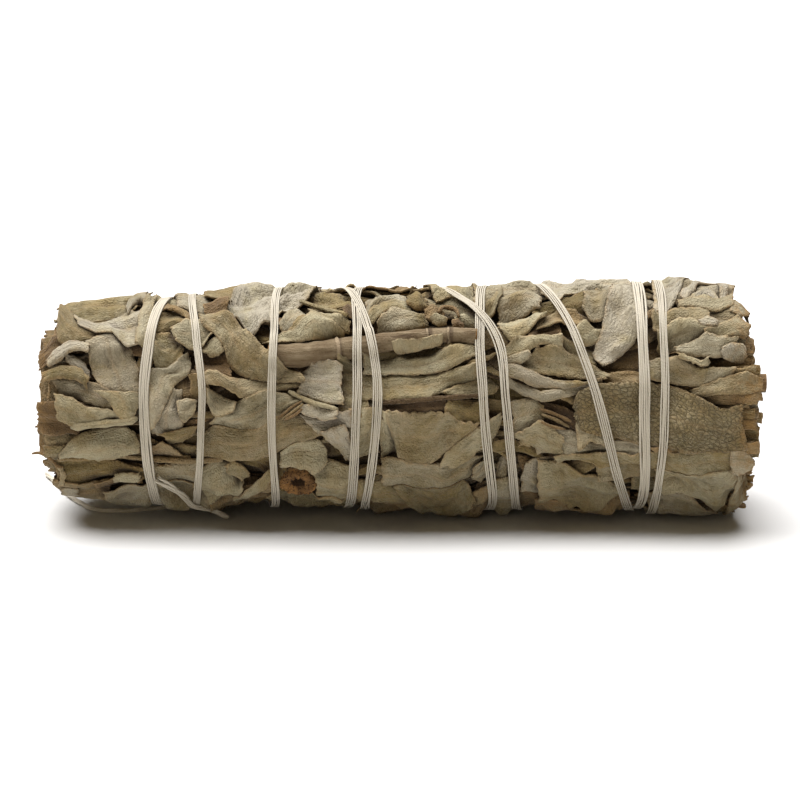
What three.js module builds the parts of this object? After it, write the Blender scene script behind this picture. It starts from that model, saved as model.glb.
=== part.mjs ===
// Bunch of dried white sage: stems and leaves bound tightly with cotton thread, lying on its side.
// Millimetres. X runs along the bunch, Z is up, the side with the broad leaf faces -Y.
// Angles are in degrees round the bunch: 0 at the front, 90 on top, 180 at the back, -90 underneath.
import * as THREE from 'three';

const { clamp, degToRad, lerp, smoothstep } = THREE.MathUtils;

// Overall form
const TAPER_LEFT = 0.24;          // share of the radius lost at the left end
const TAPER_LEFT_FROM = -50;
const TAPER_LEFT_TO = -8;
const TAPER_RIGHT = 0.14;         // share of the radius lost at the right end
const TAPER_RIGHT_FROM = 38;
const TAPER_RIGHT_TO = 51;
const FLATTENING = 0.955;         // underside radius, as a share, where the bunch sags flat
const GAP = 0.35;                 // air between neighbouring pieces

// Stems at the core
const CORE_STEM_RADIUS = 1.4;
const CORE_RING = 6;
const CORE_ENDS = [[-49.6, 48.2], [-48.4, 50], [-50, 47], [-47.6, 49.2], [-49, 46.6], [-48, 48.8], [-49.4, 47.8]];

// Leaves rolled lengthwise round the core
const ROLL_COUNT = 9;
const ROLL_RADIUS = 2.1;
const ROLL_ENDS = [[-48.6, 46.8], [-47.4, 47.6], [-48.8, 46]];

// Leaves wrapped round the rolls in three layers, each leaf tucked under the next
const LEAF_THICKNESS = 0.5;
const LEAF_STEPS = 8;
const LEAF_TIP = 0.2;             // width left at the blunt tip, as a share
const SPLIT = 0.6;                // space between the tips of two leaves that meet
const CUT_LEFT = -47.4;
const CUT_RIGHT = 45.6;
const CUT_RAGGED = 1.3;           // how far the cut ends differ either way
const LAYERS = [
  { name: 'inner', count: 4, half: 56, start: 20, across: 7, splits: [10, -14, 6, -8] },
  { name: 'middle', count: 6, half: 40, start: 35, across: 5, splits: [-12, 14, -4, 16, -16, 4] },
];
const OUTER_HALF = 26;
const OUTER_PITCH = 40;
const OUTER_ACROSS = 4;
const OUTER_COLUMNS = [
  { name: 'front', angle: 0, tips: [17.2, 17.8] },
  { name: 'stem_side', angle: 40, tips: [-18.6, 11.6] },
  { name: 'top_front', angle: 80, tips: [-2.3, -1.7] },
  { name: 'top_back', angle: 120, tips: [7.7, 8.3] },
  { name: 'back_upper', angle: 160, tips: [-10.3, -9.7] },
  { name: 'back_middle', angle: 200, tips: [4.7, 5.3] },
  { name: 'back_lower', angle: 240, tips: [-6.3, -5.7] },
  { name: 'lower_front', angle: -40, tips: [-16.6, -10.4] },
];

// Two leaves underneath, swollen between the turns of thread into flats that rest on the table
const REST_ANGLE = -84;
const REST_ACROSS = 6;
const REST_FLAT_REACH = 16;       // angle either side of straight down that is flattened
const REST_LEAVES = [
  { name: 'left', stations: [-46, -38, -27, -25.2, -21.6, -19.8, -15.8, -14.6, -11.2, -9.6, -3.2] },
  { name: 'right', stations: [-2.7, -1.4, 6.6, 8.4, 17.2, 19, 26, 27.8, 35.4, 36.8, 41, 45.4] },
];
const REST_FLATS = [[-25.2, -21.6], [-14.6, -11.2], [-1.4, 6.6], [19, 26], [36.8, 41]];

// Stem lying in the outer layer, and the end of a cut branch showing in a gap between leaves
const SURFACE_STEM = { angle: 40, radius: 1.15, from: -17.6, to: 10.6 };
const STUB = { angle: -34.5, x: -13.5, radius: 2.05, depth: 1.7, pithRadius: 0.7, pithDepth: 0.9 };

// Cotton thread: where each turn lies along X at the stations round the bunch
const THREAD_WIDTH = 1;
const THREAD_THICKNESS = 0.32;
const THREAD_GAP = 0.2;           // air between the thread and what it lies on
const THREAD_STEP = 12;
const THREAD_START = { angle: -112, x: -30.4 };
const THREAD_STATIONS = [-76, 14, 48, 104, 200];
const THREAD_TURNS = [
  { x: [-34.1, -33.1, -32.8, -32.3, -31.5], width: 1.9 },
  { x: [-28.2, -25.9, -26.2, -28.4, -23.5], width: 1 },
  { x: [-17.1, -16.8, -16.6, -16.3, -12], width: 1 },
  { x: [-7.3, -5.6, -5.6, -5.3, 3], width: 1 },
  { x: [11.9, 10.9, 10.5, 11.7, 22], width: 1 },
  { x: [31.6, 31.9, 31.6, 31.8, 33], width: 1.5 },
  { x: [33.8, 34.6, 34.3, 34.1, 33.5], width: 1 },
  { x: [31.3, 25.9, 23, 18.3, 17], width: 1 },
  { x: [15.9, 13.8, 12.6, 4.6, -1], width: 1 },
  { x: [-4.7, -2.9, -4, -8.1, -17], width: 1 },
];
const THREAD_END = { angle: 248, x: -27 };
const CROSSING_NEAR = 1.5;        // turns closer than this lie one over the other
const CROSSING_FAR = 3.4;
const STEM_CLIMB = 24;            // angle over which the thread climbs the surface stem

// Two loose thread ends: one leans on the front, the other lies on the table
const TAIL_RADIUS = 0.3;
const TAIL_SIDES = 8;
const FRONT_TAIL = [[-24.2, -68, 0], [-25.8, -60, 0.6], [-27.4, -51, 0.9], [-29.3, -42, 0.6], [-31.2, -29, 0]];
const FLOOR_TAIL = [[-30.5, 0.4], [-35, -0.4], [-41.2, -0.2], [-45.2, 4], [-47.8, 11], [-50.6, 17.6]];

// Radii that follow from the sizes above
const CORE_RADIUS = 3 * CORE_STEM_RADIUS + GAP;
const ROLL_CENTRE = CORE_RADIUS + GAP + ROLL_RADIUS;
const LEAF_PITCH = LEAF_THICKNESS + GAP;

const FINISHES = {
  stem: { color: 0x8c735f, roughness: 0.8 },
  cutStem: { color: 0x96683c, roughness: 0.85 },
  roll: { color: 0x8f8a72, roughness: 0.9 },
  leaf: { color: 0xa5a08c, roughness: 0.92 },
  paleLeaf: { color: 0xb9b6a5, roughness: 0.92 },
  thread: { color: 0xe1dccd, roughness: 0.95 },
};

const bunch = new THREE.Group();
bunch.name = 'sage_bunch';

/** Share of the full radius that the bunch has at x: it tapers towards both ends. */
function taper(x) {
  const left = TAPER_LEFT * (1 - smoothstep(x, TAPER_LEFT_FROM, TAPER_LEFT_TO)) ** 2;
  const right = TAPER_RIGHT * smoothstep(x, TAPER_RIGHT_FROM, TAPER_RIGHT_TO);
  return 1 - left - right;
}

/** Share of the full radius in one direction: the underside sags to a flat. */
function sag(angle) {
  const down = Math.cos(degToRad(angle + 90));
  return down > FLATTENING ? FLATTENING / down : 1;
}

/** Point at a place along the bunch, an angle round it and a radius in the untapered bunch. */
function onBunch(x, angle, radius) {
  const reach = radius * taper(x) * sag(angle);
  const turn = degToRad(angle);
  return new THREE.Vector3(x, -reach * Math.cos(turn), reach * Math.sin(turn));
}

/** Moves every corner of a geometry with a rule that takes and returns a Vector3. */
function reshape(geometry, rule) {
  const position = geometry.attributes.position;
  const corner = new THREE.Vector3();
  for (let i = 0; i < position.count; i += 1) {
    corner.fromBufferAttribute(position, i);
    const moved = rule(corner);
    position.setXYZ(i, moved.x, moved.y, moved.z);
  }
  geometry.computeVertexNormals();
  return geometry;
}

/** Tapers and flattens a solid that was made in the untapered bunch. */
function pressIntoBunch(geometry) {
  return reshape(geometry, ({ x, y, z }) => {
    const angle = Math.atan2(z, -y) * 180 / Math.PI;
    return onBunch(x, angle, Math.hypot(y, z));
  });
}

function addPiece(name, geometry, finish) {
  const material = new THREE.MeshStandardMaterial({ ...FINISHES[finish], metalness: 0 });
  const piece = new THREE.Mesh(geometry, material);
  piece.name = name;
  bunch.add(piece);
  return piece;
}

/** Round bar along X between two ends, its cut edges eased, centred on an angle and radius. */
function bar(from, to, barRadius, angle, radius, sides) {
  const ease = 0.25;
  const profile = [
    new THREE.Vector2(0, from),
    new THREE.Vector2(barRadius - ease, from),
    new THREE.Vector2(barRadius, from + ease),
  ];
  const spans = 4;
  for (let i = 1; i < spans; i += 1) {
    profile.push(new THREE.Vector2(barRadius, lerp(from + ease, to - ease, i / spans)));
  }
  profile.push(new THREE.Vector2(barRadius, to - ease));
  profile.push(new THREE.Vector2(barRadius - ease, to));
  profile.push(new THREE.Vector2(0, to));
  const geometry = new THREE.LatheGeometry(profile, sides);
  geometry.rotateZ(-Math.PI / 2);
  const turn = degToRad(angle);
  geometry.translate(0, -radius * Math.cos(turn), radius * Math.sin(turn));
  return geometry;
}

/** Width of a leaf from its cut end (0) to its tip (1), as a share of the widest place. */
function outline(along) {
  return Math.max(LEAF_TIP, (1 - along ** 2.6) ** 0.7);
}

/** Leaf plate: stations along X, tip at one end, leaning so that each leaf tucks under the next. */
function leaf({ stations, tipAtRight, angle, half, across, radius, lean, place = onBunch }) {
  const steps = stations.length - 1;
  const plate = new THREE.BoxGeometry(1, 2, 1, steps, across, 1);
  return reshape(plate, (corner) => {
    const u = corner.x + 0.5;
    const x = stations[Math.round(u * steps)];
    const share = outline(tipAtRight ? u : 1 - u);
    const offset = corner.y * half * share;
    const middle = radius - lean * offset;
    return place(x, angle + offset, middle + corner.z * LEAF_THICKNESS, corner.z > 0);
  });
}

/** Rule for a lower leaf: its outer face meets the table at the flats and follows the bunch elsewhere. */
function restingOn(depth) {
  return (x, angle, radius, outer) => {
    const flat = REST_FLATS.some(([from, to]) => x >= from && x <= to);
    if (!outer || !flat || Math.abs(angle + 90) > REST_FLAT_REACH) {
      return onBunch(x, angle, radius);
    }
    return new THREE.Vector3(x, depth / Math.tan(degToRad(angle)), -depth);
  };
}

function evenStations(from, to, steps) {
  return Array.from({ length: steps + 1 }, (_, i) => lerp(from, to, i / steps));
}

/** Half the depth that a ring of leaning leaves takes up between its two neighbours. */
function layerHalfDepth(half, pitch) {
  return LEAF_PITCH * half / pitch + LEAF_THICKNESS / 2;
}

/** Two leaves end to end at one angle: cut at the ends of the bunch, tips towards each other. */
function addLeafPair(name, angle, tips, ring, finish) {
  const shape = { angle, half: ring.half, across: ring.across, radius: ring.radius, lean: ring.lean };
  const ragged = CUT_RAGGED * Math.sin(angle);
  const left = evenStations(CUT_LEFT - ragged, tips[0], LEAF_STEPS);
  const right = evenStations(tips[1], CUT_RIGHT - ragged, LEAF_STEPS);
  addPiece(`${name}_left`, leaf({ stations: left, tipAtRight: true, ...shape }), finish);
  addPiece(`${name}_right`, leaf({ stations: right, tipAtRight: false, ...shape }), finish);
}

/** Smooth curve of x against angle through the thread's stations. */
function threadRoute() {
  const points = [new THREE.Vector2(THREAD_START.angle, THREAD_START.x)];
  THREAD_TURNS.forEach((turn, index) => {
    turn.x.forEach((x, station) => {
      points.push(new THREE.Vector2(THREAD_STATIONS[station] + 360 * index, x));
    });
  });
  const lastTurn = THREAD_TURNS.length - 1;
  points.push(new THREE.Vector2(THREAD_END.angle + 360 * lastTurn, THREAD_END.x));
  return points;
}

/** x of the thread at an unwound angle: cubic between stations, slopes from the neighbours. */
function threadAt(points, angle) {
  const last = points.length - 2;
  const found = points.findIndex((point, i) => i <= last && angle <= points[i + 1].x);
  const i = found < 0 ? last : found;
  const slope = (k) => {
    const before = points[Math.max(k - 1, 0)];
    const after = points[Math.min(k + 1, points.length - 1)];
    return (after.y - before.y) / (after.x - before.x);
  };
  const width = points[i + 1].x - points[i].x;
  const t = clamp((angle - points[i].x) / width, 0, 1);
  const fromStart = (1 + 2 * t) * (1 - t) ** 2 * points[i].y + t * (1 - t) ** 2 * width * slope(i);
  const fromEnd = t ** 2 * (3 - 2 * t) * points[i + 1].y + t ** 2 * (t - 1) * width * slope(i + 1);
  return fromStart + fromEnd;
}

function threadWidthAt(angle) {
  const place = (angle - THREAD_STATIONS[0]) / 360;
  const share = place - Math.floor(place);
  const turn = THREAD_TURNS[clamp(Math.floor(place), 0, THREAD_TURNS.length - 1)];
  const ramp = smoothstep(share, 0, 0.12) * (1 - smoothstep(share, 0.55, 0.7));
  return lerp(THREAD_WIDTH, turn.width, ramp);
}

/** Bottom of the thread above the leaves: it rides over the surface stem and over earlier turns. */
function threadLift(points, angle) {
  const x = threadAt(points, angle);
  const round = ((angle - SURFACE_STEM.angle + 180) % 360 + 360) % 360 - 180;
  const onStem = x > SURFACE_STEM.from - 1 && x < SURFACE_STEM.to + 1;
  const stemTop = STEM_CENTRE + SURFACE_STEM.radius + GAP - THREAD_RADIUS;
  let lift = onStem ? Math.max(0, stemTop * (1 - Math.abs(round) / STEM_CLIMB)) : 0;
  for (let earlier = angle - 360; earlier > THREAD_START.angle; earlier -= 360) {
    const apart = Math.abs(x - threadAt(points, earlier));
    if (apart < CROSSING_FAR) {
      const near = 1 - smoothstep(apart, CROSSING_NEAR, CROSSING_FAR);
      const over = threadLift(points, earlier) + THREAD_THICKNESS + THREAD_GAP;
      lift = Math.max(lift, over * near);
    }
  }
  return lift;
}

/** Flat band of thread wound along the route. */
function threadGeometry(points) {
  const first = points[0].x;
  const span = points[points.length - 1].x - first;
  const steps = Math.round(span / THREAD_STEP);
  const band = new THREE.BoxGeometry(1, 1, 1, steps, 1, 1);
  return reshape(band, (corner) => {
    const angle = first + (corner.x + 0.5) * span;
    const x = threadAt(points, angle) - corner.y * threadWidthAt(angle);
    const height = (corner.z + 0.5) * THREAD_THICKNESS;
    return onBunch(x, angle, THREAD_RADIUS + threadLift(points, angle) + height);
  });
}

/** Round thread through the given points. */
function tail(points) {
  const section = new THREE.Shape();
  section.absarc(0, 0, TAIL_RADIUS, 0, 2 * Math.PI);
  return new THREE.ExtrudeGeometry(section, {
    steps: 4 * (points.length - 1),
    curveSegments: TAIL_SIDES,
    extrudePath: new THREE.CatmullRomCurve3(points),
  });
}

/** Lowest point of a set of geometries. */
function lowest(geometries) {
  return Math.min(...geometries.map((geometry) => {
    geometry.computeBoundingBox();
    return geometry.boundingBox.min.z;
  }));
}

// Core stems: one in the middle, the others in a ring
CORE_ENDS.forEach(([from, to], index) => {
  const radius = index === 0 ? 0 : 2 * CORE_STEM_RADIUS + GAP;
  const solid = bar(from, to, CORE_STEM_RADIUS, index * 360 / CORE_RING, radius, 10);
  addPiece(`core_stem_${index + 1}`, pressIntoBunch(solid), 'stem');
});

// Rolled leaves
for (let index = 0; index < ROLL_COUNT; index += 1) {
  const [from, to] = ROLL_ENDS[index % ROLL_ENDS.length];
  const solid = bar(from, to, ROLL_RADIUS, 12 + index * 360 / ROLL_COUNT, ROLL_CENTRE, 10);
  addPiece(`rolled_leaf_${index + 1}`, pressIntoBunch(solid), 'roll');
}

// Wrapped layers, from the inside out
let built = ROLL_CENTRE + ROLL_RADIUS;
LAYERS.forEach(({ name, count, half, start, across, splits }) => {
  const pitch = 360 / count;
  const depth = layerHalfDepth(half, pitch);
  const ring = { half, across, radius: built + GAP + depth, lean: LEAF_PITCH / pitch };
  splits.forEach((split, index) => {
    const tips = [split - SPLIT / 2, split + SPLIT / 2];
    addLeafPair(`${name}_leaf_${index + 1}`, start + index * pitch, tips, ring, 'leaf');
  });
  built = ring.radius + depth;
});

const STEM_CENTRE = built + GAP + SURFACE_STEM.radius;
const STUB_CENTRE = built + GAP + STUB.depth / 2;
const outerDepth = layerHalfDepth(OUTER_HALF, OUTER_PITCH);
const outerRing = {
  half: OUTER_HALF,
  across: OUTER_ACROSS,
  radius: built + GAP + outerDepth,
  lean: LEAF_PITCH / OUTER_PITCH,
};
const THREAD_RADIUS = outerRing.radius + outerDepth + THREAD_GAP;
OUTER_COLUMNS.forEach(({ name, angle, tips }, index) => {
  addLeafPair(`leaf_${name}`, angle, tips, outerRing, index % 2 === 0 ? 'paleLeaf' : 'leaf');
});

// Stem in the outer layer
const stemSolid = bar(SURFACE_STEM.from, SURFACE_STEM.to, SURFACE_STEM.radius, SURFACE_STEM.angle, STEM_CENTRE, 12);
addPiece('surface_stem', pressIntoBunch(stemSolid), 'stem');

// End of a cut branch, with its pith hollow facing out
const stubProfile = [
  new THREE.Vector2(0, -STUB.depth / 2),
  new THREE.Vector2(STUB.radius, -STUB.depth / 2),
  new THREE.Vector2(STUB.radius, STUB.depth / 2),
  new THREE.Vector2(STUB.pithRadius, STUB.depth / 2),
  new THREE.Vector2(STUB.pithRadius, STUB.depth / 2 - STUB.pithDepth),
  new THREE.Vector2(0, STUB.depth / 2 - STUB.pithDepth),
];
const stubSolid = new THREE.LatheGeometry(stubProfile, 12);
stubSolid.translate(0, STUB_CENTRE, 0);
stubSolid.rotateX(degToRad(180 - STUB.angle));
stubSolid.translate(STUB.x, 0, 0);
addPiece('cut_stem_stub', pressIntoBunch(stubSolid), 'cutStem');

// Thread wound along the bunch and back
const route = threadRoute();
addPiece('binding_thread', threadGeometry(route), 'thread');

// The table is just under the thread, and the flats of the two lower leaves reach it
const tableDepth = -lowest(bunch.children.map((piece) => piece.geometry)) + 0.05;
REST_LEAVES.forEach(({ name, stations }) => {
  const plate = leaf({
    stations,
    tipAtRight: name === 'left',
    angle: REST_ANGLE,
    half: OUTER_HALF,
    across: REST_ACROSS,
    radius: outerRing.radius,
    lean: outerRing.lean,
    place: restingOn(tableDepth),
  });
  addPiece(`leaf_underside_${name}`, plate, 'leaf');
});

bunch.position.z = tableDepth;

// Loose ends of the thread
const leaning = FRONT_TAIL.map(([x, angle, lift]) => {
  return onBunch(x, angle, THREAD_RADIUS + TAIL_RADIUS + lift);
});
addPiece('thread_end_front', tail(leaning), 'thread');
const lying = FLOOR_TAIL.map(([x, y]) => new THREE.Vector3(x, y, TAIL_RADIUS + 0.05 - tableDepth));
addPiece('thread_end_floor', tail(lying), 'thread');

export default bunch;
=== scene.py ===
"""Bunch of dried white sage bound with cotton thread, lying on a pale table.

Lengths are millimetres until a mesh is written, which is in metres. X runs along the bunch, Z is up
and the front faces -Y. A point on the bunch is given by x, the angle round it (0 front, 90 top, 180
back, -90 underneath) and its layer radius, the radius it would have if the bunch did not taper.
A turn is the unrolled distance round the bunch, the angle in radians times the unrolling radius.
"""
from __future__ import annotations

import logging
import math
from dataclasses import dataclass, field, replace
from enum import Enum
from typing import Any, Iterable

import bpy
import numpy as np
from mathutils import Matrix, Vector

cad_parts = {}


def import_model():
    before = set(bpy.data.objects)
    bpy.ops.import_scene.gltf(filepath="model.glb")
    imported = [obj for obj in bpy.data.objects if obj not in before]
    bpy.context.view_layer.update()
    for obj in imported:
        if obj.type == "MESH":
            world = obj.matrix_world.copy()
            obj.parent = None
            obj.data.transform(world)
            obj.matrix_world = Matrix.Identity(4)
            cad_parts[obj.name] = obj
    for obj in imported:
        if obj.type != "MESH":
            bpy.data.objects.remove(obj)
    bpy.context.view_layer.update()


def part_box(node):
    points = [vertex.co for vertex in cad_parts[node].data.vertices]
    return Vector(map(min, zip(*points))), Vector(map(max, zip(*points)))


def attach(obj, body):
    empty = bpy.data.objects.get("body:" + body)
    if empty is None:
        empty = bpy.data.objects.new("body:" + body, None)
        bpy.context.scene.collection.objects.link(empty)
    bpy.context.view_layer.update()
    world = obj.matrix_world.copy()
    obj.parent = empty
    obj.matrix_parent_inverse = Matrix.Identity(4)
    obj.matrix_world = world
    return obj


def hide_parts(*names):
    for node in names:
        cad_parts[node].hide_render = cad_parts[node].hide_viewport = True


LOG = logging.getLogger("sage_bunch")
MM = 0.001
UNROLL = 15.0                    # radius at which angles are unrolled into millimetres
FAR_OFF = 99.0                   # more than any distance on the bunch
# Least painted shade on a sheet's inner face, which faces into the bunch
UNDER_SHADE = 0.55               # least darkness of a sheet's inner face
Array = np.ndarray
Colour = tuple[float, float, float]
Span = tuple[float, float]
Material = bpy.types.Material


class Seed(Enum):
    """Starting values of the random draws, one for each kind of work."""

    DRAPE = 7
    WRAPPING = 23
    FRONT_STEM = 5
    STUB = 3
    INSIDE = 77
    THREAD = 41

    def draws(self) -> np.random.Generator:
        """A fresh generator."""
        return np.random.default_rng(self.value)


# Form of the bunch

def smoothstep(value: Array, low: float, high: float) -> Array:
    """Cubic step from 0 at low to 1 at high."""
    t = np.clip((np.asarray(value, float) - low) / (high - low), 0.0, 1.0)
    return t * t * (3.0 - 2.0 * t)


def sunk(height: Array, limit: float | Array, room: float) -> Array:
    """Heights held back softly: what stands over the limit dies away towards the room above it."""
    over = np.maximum(height - limit, 0.0)
    return height - over + room * (1.0 - np.exp(-over / room))


@dataclass(frozen=True)
class Form:
    """The tapered, slightly sagging roll that every piece is wrapped round."""

    axis_height: float
    taper_left: float = 0.19
    taper_right: float = 0.09
    left_run: Span = (-50.0, -8.0)
    right_run: Span = (38.0, 51.0)
    flattening: float = 0.955
    table_gap: float = 0.06
    table_rise: float = 0.25
    table_soft: float = 0.6
    loose: float = 14.0
    squeeze: float = 1.95
    crown_middle: float = 30.0
    crown_width: float = 11.0
    crown_rise: float = 0.062

    def taper(self, x: Array) -> Array:
        """Share of the full radius at x: one less a soft step towards each end."""
        left = (1.0 - smoothstep(x, *self.left_run)) ** 2
        return 1.0 - self.taper_left * left - self.taper_right * smoothstep(x, *self.right_run)

    def squeezed(self, radius: Array) -> Array:
        """Layer radius after the bunch is drawn tight: what stands beyond the loose radius sinks."""
        return sunk(radius, self.loose, self.squeeze)

    def sag(self, angle: Array) -> Array:
        """Share of the radius at an angle: a chord cut off the underside."""
        down = np.cos(np.radians(np.asarray(angle, float) + 90.0))
        return np.where(down > self.flattening, self.flattening / np.maximum(down, 0.5), 1.0)

    def full(self, x: Array, angle: Array) -> Array:
        """Share of the radius where the bunch is fullest: a bell along x, upwards only."""
        bell = self.crown_rise * np.exp(-((x - self.crown_middle) / self.crown_width) ** 2)
        return 1.0 + bell * smoothstep(np.sin(np.radians(angle)), 0.5, 1.0)

    def place(self, x: Array, angle: Array, radius: Array) -> Array:
        """Points in space: the radius, tapered, sagged and filled out, is swung round the axis.

        Near the table the height eases off, so that nothing goes below it.

        Args:
            x: place along the bunch.
            angle: degrees round the bunch.
            radius: layer radius.

        Returns:
            Array of the same shape with a last axis of three.
        """
        reach = radius * self.taper(x) * self.sag(angle) * self.full(x, angle)
        swing = np.radians(angle)
        z = self.axis_height + reach * np.sin(swing)
        soft = self.table_soft
        low = self.table_gap + self.table_rise * np.exp((np.minimum(z, soft) - soft) / soft)
        return np.stack([np.broadcast_to(x, z.shape), -reach * np.cos(swing), np.maximum(z, low)], -1)

    def outward(self, x: Array, points: Array) -> Array:
        """Directions from the axis at x to points."""
        return points - np.stack([x, 0 * x, 0 * x + self.axis_height], 1)


@dataclass(frozen=True)
class Viewpoint:
    """The camera, and the way back from a point of its picture to the bunch."""

    elevation: float = 14.0
    distance: float = 400.0
    field_width: float = 108.5
    sensor: float = 36.0
    picture: float = 800.0
    fold_over: float = 0.25
    rounds: int = 4

    @property
    def lens(self) -> float:
        """Focal length that shows the field width at the axis."""
        return self.sensor * self.distance / self.field_width

    def make(self, form: Form) -> bpy.types.Object:
        """Create the camera, aimed at the middle of the axis from the front.

        Args:
            form: gives the height of the axis.

        Returns:
            The camera object, set as the scene's camera.
        """
        data = bpy.data.cameras.new("view")
        data.lens = self.lens
        data.sensor_width = self.sensor
        data.clip_start = 0.01
        camera = bpy.data.objects.new("view", data)
        tilt = math.radians(self.elevation)
        reach = self.distance * MM
        camera.location = (0.0, -reach * math.cos(tilt), form.axis_height * MM + reach * math.sin(tilt))
        camera.rotation_euler = (math.pi / 2 - tilt, 0.0, 0.0)
        bpy.context.collection.objects.link(camera)
        bpy.context.scene.camera = camera
        return camera

    def onto(self, outline: str, form: Form, radius: float) -> Array:
        """Carry picture points onto the roll of the given layer radius.

        A sight line through the picture meets the roll where its offset from the axis equals the
        tapered radius times the sine of the angle from the line of sight. Past the outline the
        angle keeps growing, so that a leaf folds over the edge.

        Args:
            outline: picture points in pixels, as text such as "12,34 56,78".
            form: the roll.
            radius: layer radius to meet.

        Returns:
            Rows of x and turn.
        """
        points = np.array([[float(n) for n in pair.split(",")] for pair in outline.split()])
        focal = self.picture * self.lens / self.sensor
        across = (points[:, 0] - self.picture / 2) / focal
        slope = (self.picture / 2 - points[:, 1]) / focal
        x = across * self.distance
        swing = np.zeros_like(x)
        for _ in range(self.rounds):
            reach = radius * form.taper(x)
            sine = slope * self.distance / (reach * np.sqrt(1.0 + slope ** 2))
            over = np.minimum(np.maximum(np.abs(sine) - 1.0, 0.0), self.fold_over)
            swing = np.arcsin(np.clip(sine, -1.0, 1.0)) + np.sign(sine) * over - np.arctan(slope)
            x = across * (self.distance - reach * np.cos(swing))
        return np.stack([x, (swing + math.radians(self.elevation)) * UNROLL], axis=1)


class Ripple:
    """Smooth noise: a sum of plane waves with seeded directions and phases, between about -1 and 1."""

    waves = 9
    spread = 4.0

    def __init__(self, rng: np.random.Generator, wavelength: float, stretch: float = 1.0) -> None:
        """Draw the waves.

        Args:
            rng: source of the draws.
            wavelength: distance from crest to crest, about.
            stretch: how much longer they are along the first coordinate.
        """
        headings = rng.uniform(0.0, 2.0 * np.pi, self.waves)
        pace = 2.0 * np.pi / wavelength * rng.uniform(0.6, 1.5, self.waves)
        self.along = np.cos(headings) * pace / stretch
        self.across = np.sin(headings) * pace
        self.phase = rng.uniform(0.0, 2.0 * np.pi, self.waves)

    def __call__(self, u: Array, v: Array | float = 0.0) -> Array:
        """Value of the noise.

        Args:
            u: first coordinate.
            v: second coordinate.

        Returns:
            The noise, of the shape that u and v have together.
        """
        u = np.asarray(u, float)[..., None]
        v = np.asarray(v, float)[..., None]
        return np.sin(u * self.along + v * self.across + self.phase).sum(axis=-1) / self.spread


# Lines

def line_length(line: Array) -> float:
    """Length of a line through rows of points."""
    return float(np.linalg.norm(np.diff(line, axis=0), axis=1).sum())


def run_along(line: Array) -> Array:
    """Distance along a line at each of its points."""
    return np.concatenate([[0.0], np.cumsum(np.linalg.norm(np.diff(line, axis=0), axis=1))])


def cubic(knots: Array, values: Array, slopes: Array, at: Array) -> Array:
    """Smooth line through values: between two knots the cubic with the given values and slopes.

    Args:
        knots: places of the values, growing.
        values: one value, or one row of values, at each knot.
        slopes: slope at each knot.
        at: places wanted.

    Returns:
        The value, or the row of values, at each place wanted.
    """
    k = np.clip(np.searchsorted(knots, at, side="right") - 1, 0, len(knots) - 2)
    span = knots[k + 1] - knots[k]
    t = (at - knots[k]) / span
    if values.ndim > 1:
        span, t = span[:, None], t[:, None]
    return ((2 * t ** 3 - 3 * t ** 2 + 1) * values[k] + (t ** 3 - 2 * t ** 2 + t) * span * slopes[k]
            + (3 * t ** 2 - 2 * t ** 3) * values[k + 1] + (t ** 3 - t ** 2) * span * slopes[k + 1])


def even(points: Array, count: int, relax: float = 1.0) -> Array:
    """Run a smooth line through points and take count points spaced evenly along it.

    Between two points the line is a cubic whose slopes are the differences of their neighbours.

    Args:
        points: rows of coordinates.
        count: number of points wanted.
        relax: share of the slopes kept; less than one gives sharper corners.

    Returns:
        The new rows.
    """
    step = np.maximum(np.linalg.norm(np.diff(points, axis=0), axis=1), 1e-6)
    knots = np.concatenate([[0.0], np.cumsum(step)])
    slopes = np.gradient(points, knots, axis=0) * relax
    return cubic(knots, points, slopes, np.linspace(0.0, knots[-1], count))


def bridged(ground: Array, sink: float, rounds: int) -> Array:
    """Height of a limp line on uneven ground.

    It is the mean of its neighbours or the ground, whichever is higher, taken many times.

    Args:
        ground: height of the ground along the line.
        sink: how far the line sinks into it.
        rounds: how often the mean is taken; more gives a stiffer line.

    Returns:
        Height of the line.
    """
    rest = ground
    for _ in range(rounds):
        padded = np.pad(rest, 1, mode="edge")
        rest = np.maximum(ground - sink, 0.5 * (padded[:-2] + padded[2:]))
    return rest


def unit(rows: Array) -> Array:
    """Rows of the same directions and of length one."""
    return rows / np.linalg.norm(rows, axis=1, keepdims=True)


def path_frame(path: Array, up: Array) -> tuple[Array, Array, Array]:
    """Three square directions along a path.

    Args:
        path: points of the path.
        up: a direction at each of them.

    Returns:
        The direction ahead, the part of up that is square to it, and the direction square to both.
    """
    ahead = unit(np.gradient(path, axis=0))
    first = unit(up - (up * ahead).sum(1, keepdims=True) * ahead)
    return ahead, first, np.cross(ahead, first)


# Meshes

def grid_faces(rows: int, cols: int) -> tuple[Array, Array]:
    """Number the points of a grid and join each four neighbours.

    Args:
        rows: number of rows.
        cols: number of columns.

    Returns:
        The grid of point numbers, and the faces.
    """
    index = np.arange(rows * cols).reshape(rows, cols)
    faces = np.stack([index[:-1, :-1], index[1:, :-1], index[1:, 1:], index[:-1, 1:]], -1)
    return index, faces.reshape(-1, 4)


def ring_faces(rings: int, sides: int) -> tuple[Array, Array]:
    """Join rings of points into a wall and close both ends with fans.

    The middles of the first and the last ring are numbered after the points of all the rings.

    Args:
        rings: number of rings.
        sides: points on a ring.

    Returns:
        The faces of the wall, and the triangles of the two fans.
    """
    index = np.arange(rings * sides).reshape(rings, sides)
    beside = np.roll(index, -1, axis=1)
    wall = np.stack([index[:-1], beside[:-1], beside[1:], index[1:]], -1).reshape(-1, 4)
    start, end = np.full(sides, rings * sides), np.full(sides, rings * sides + 1)
    fans = np.concatenate([np.stack([start, beside[0], index[0]], -1),
                           np.stack([end, index[-1], beside[-1]], -1)])
    return wall, fans


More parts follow.
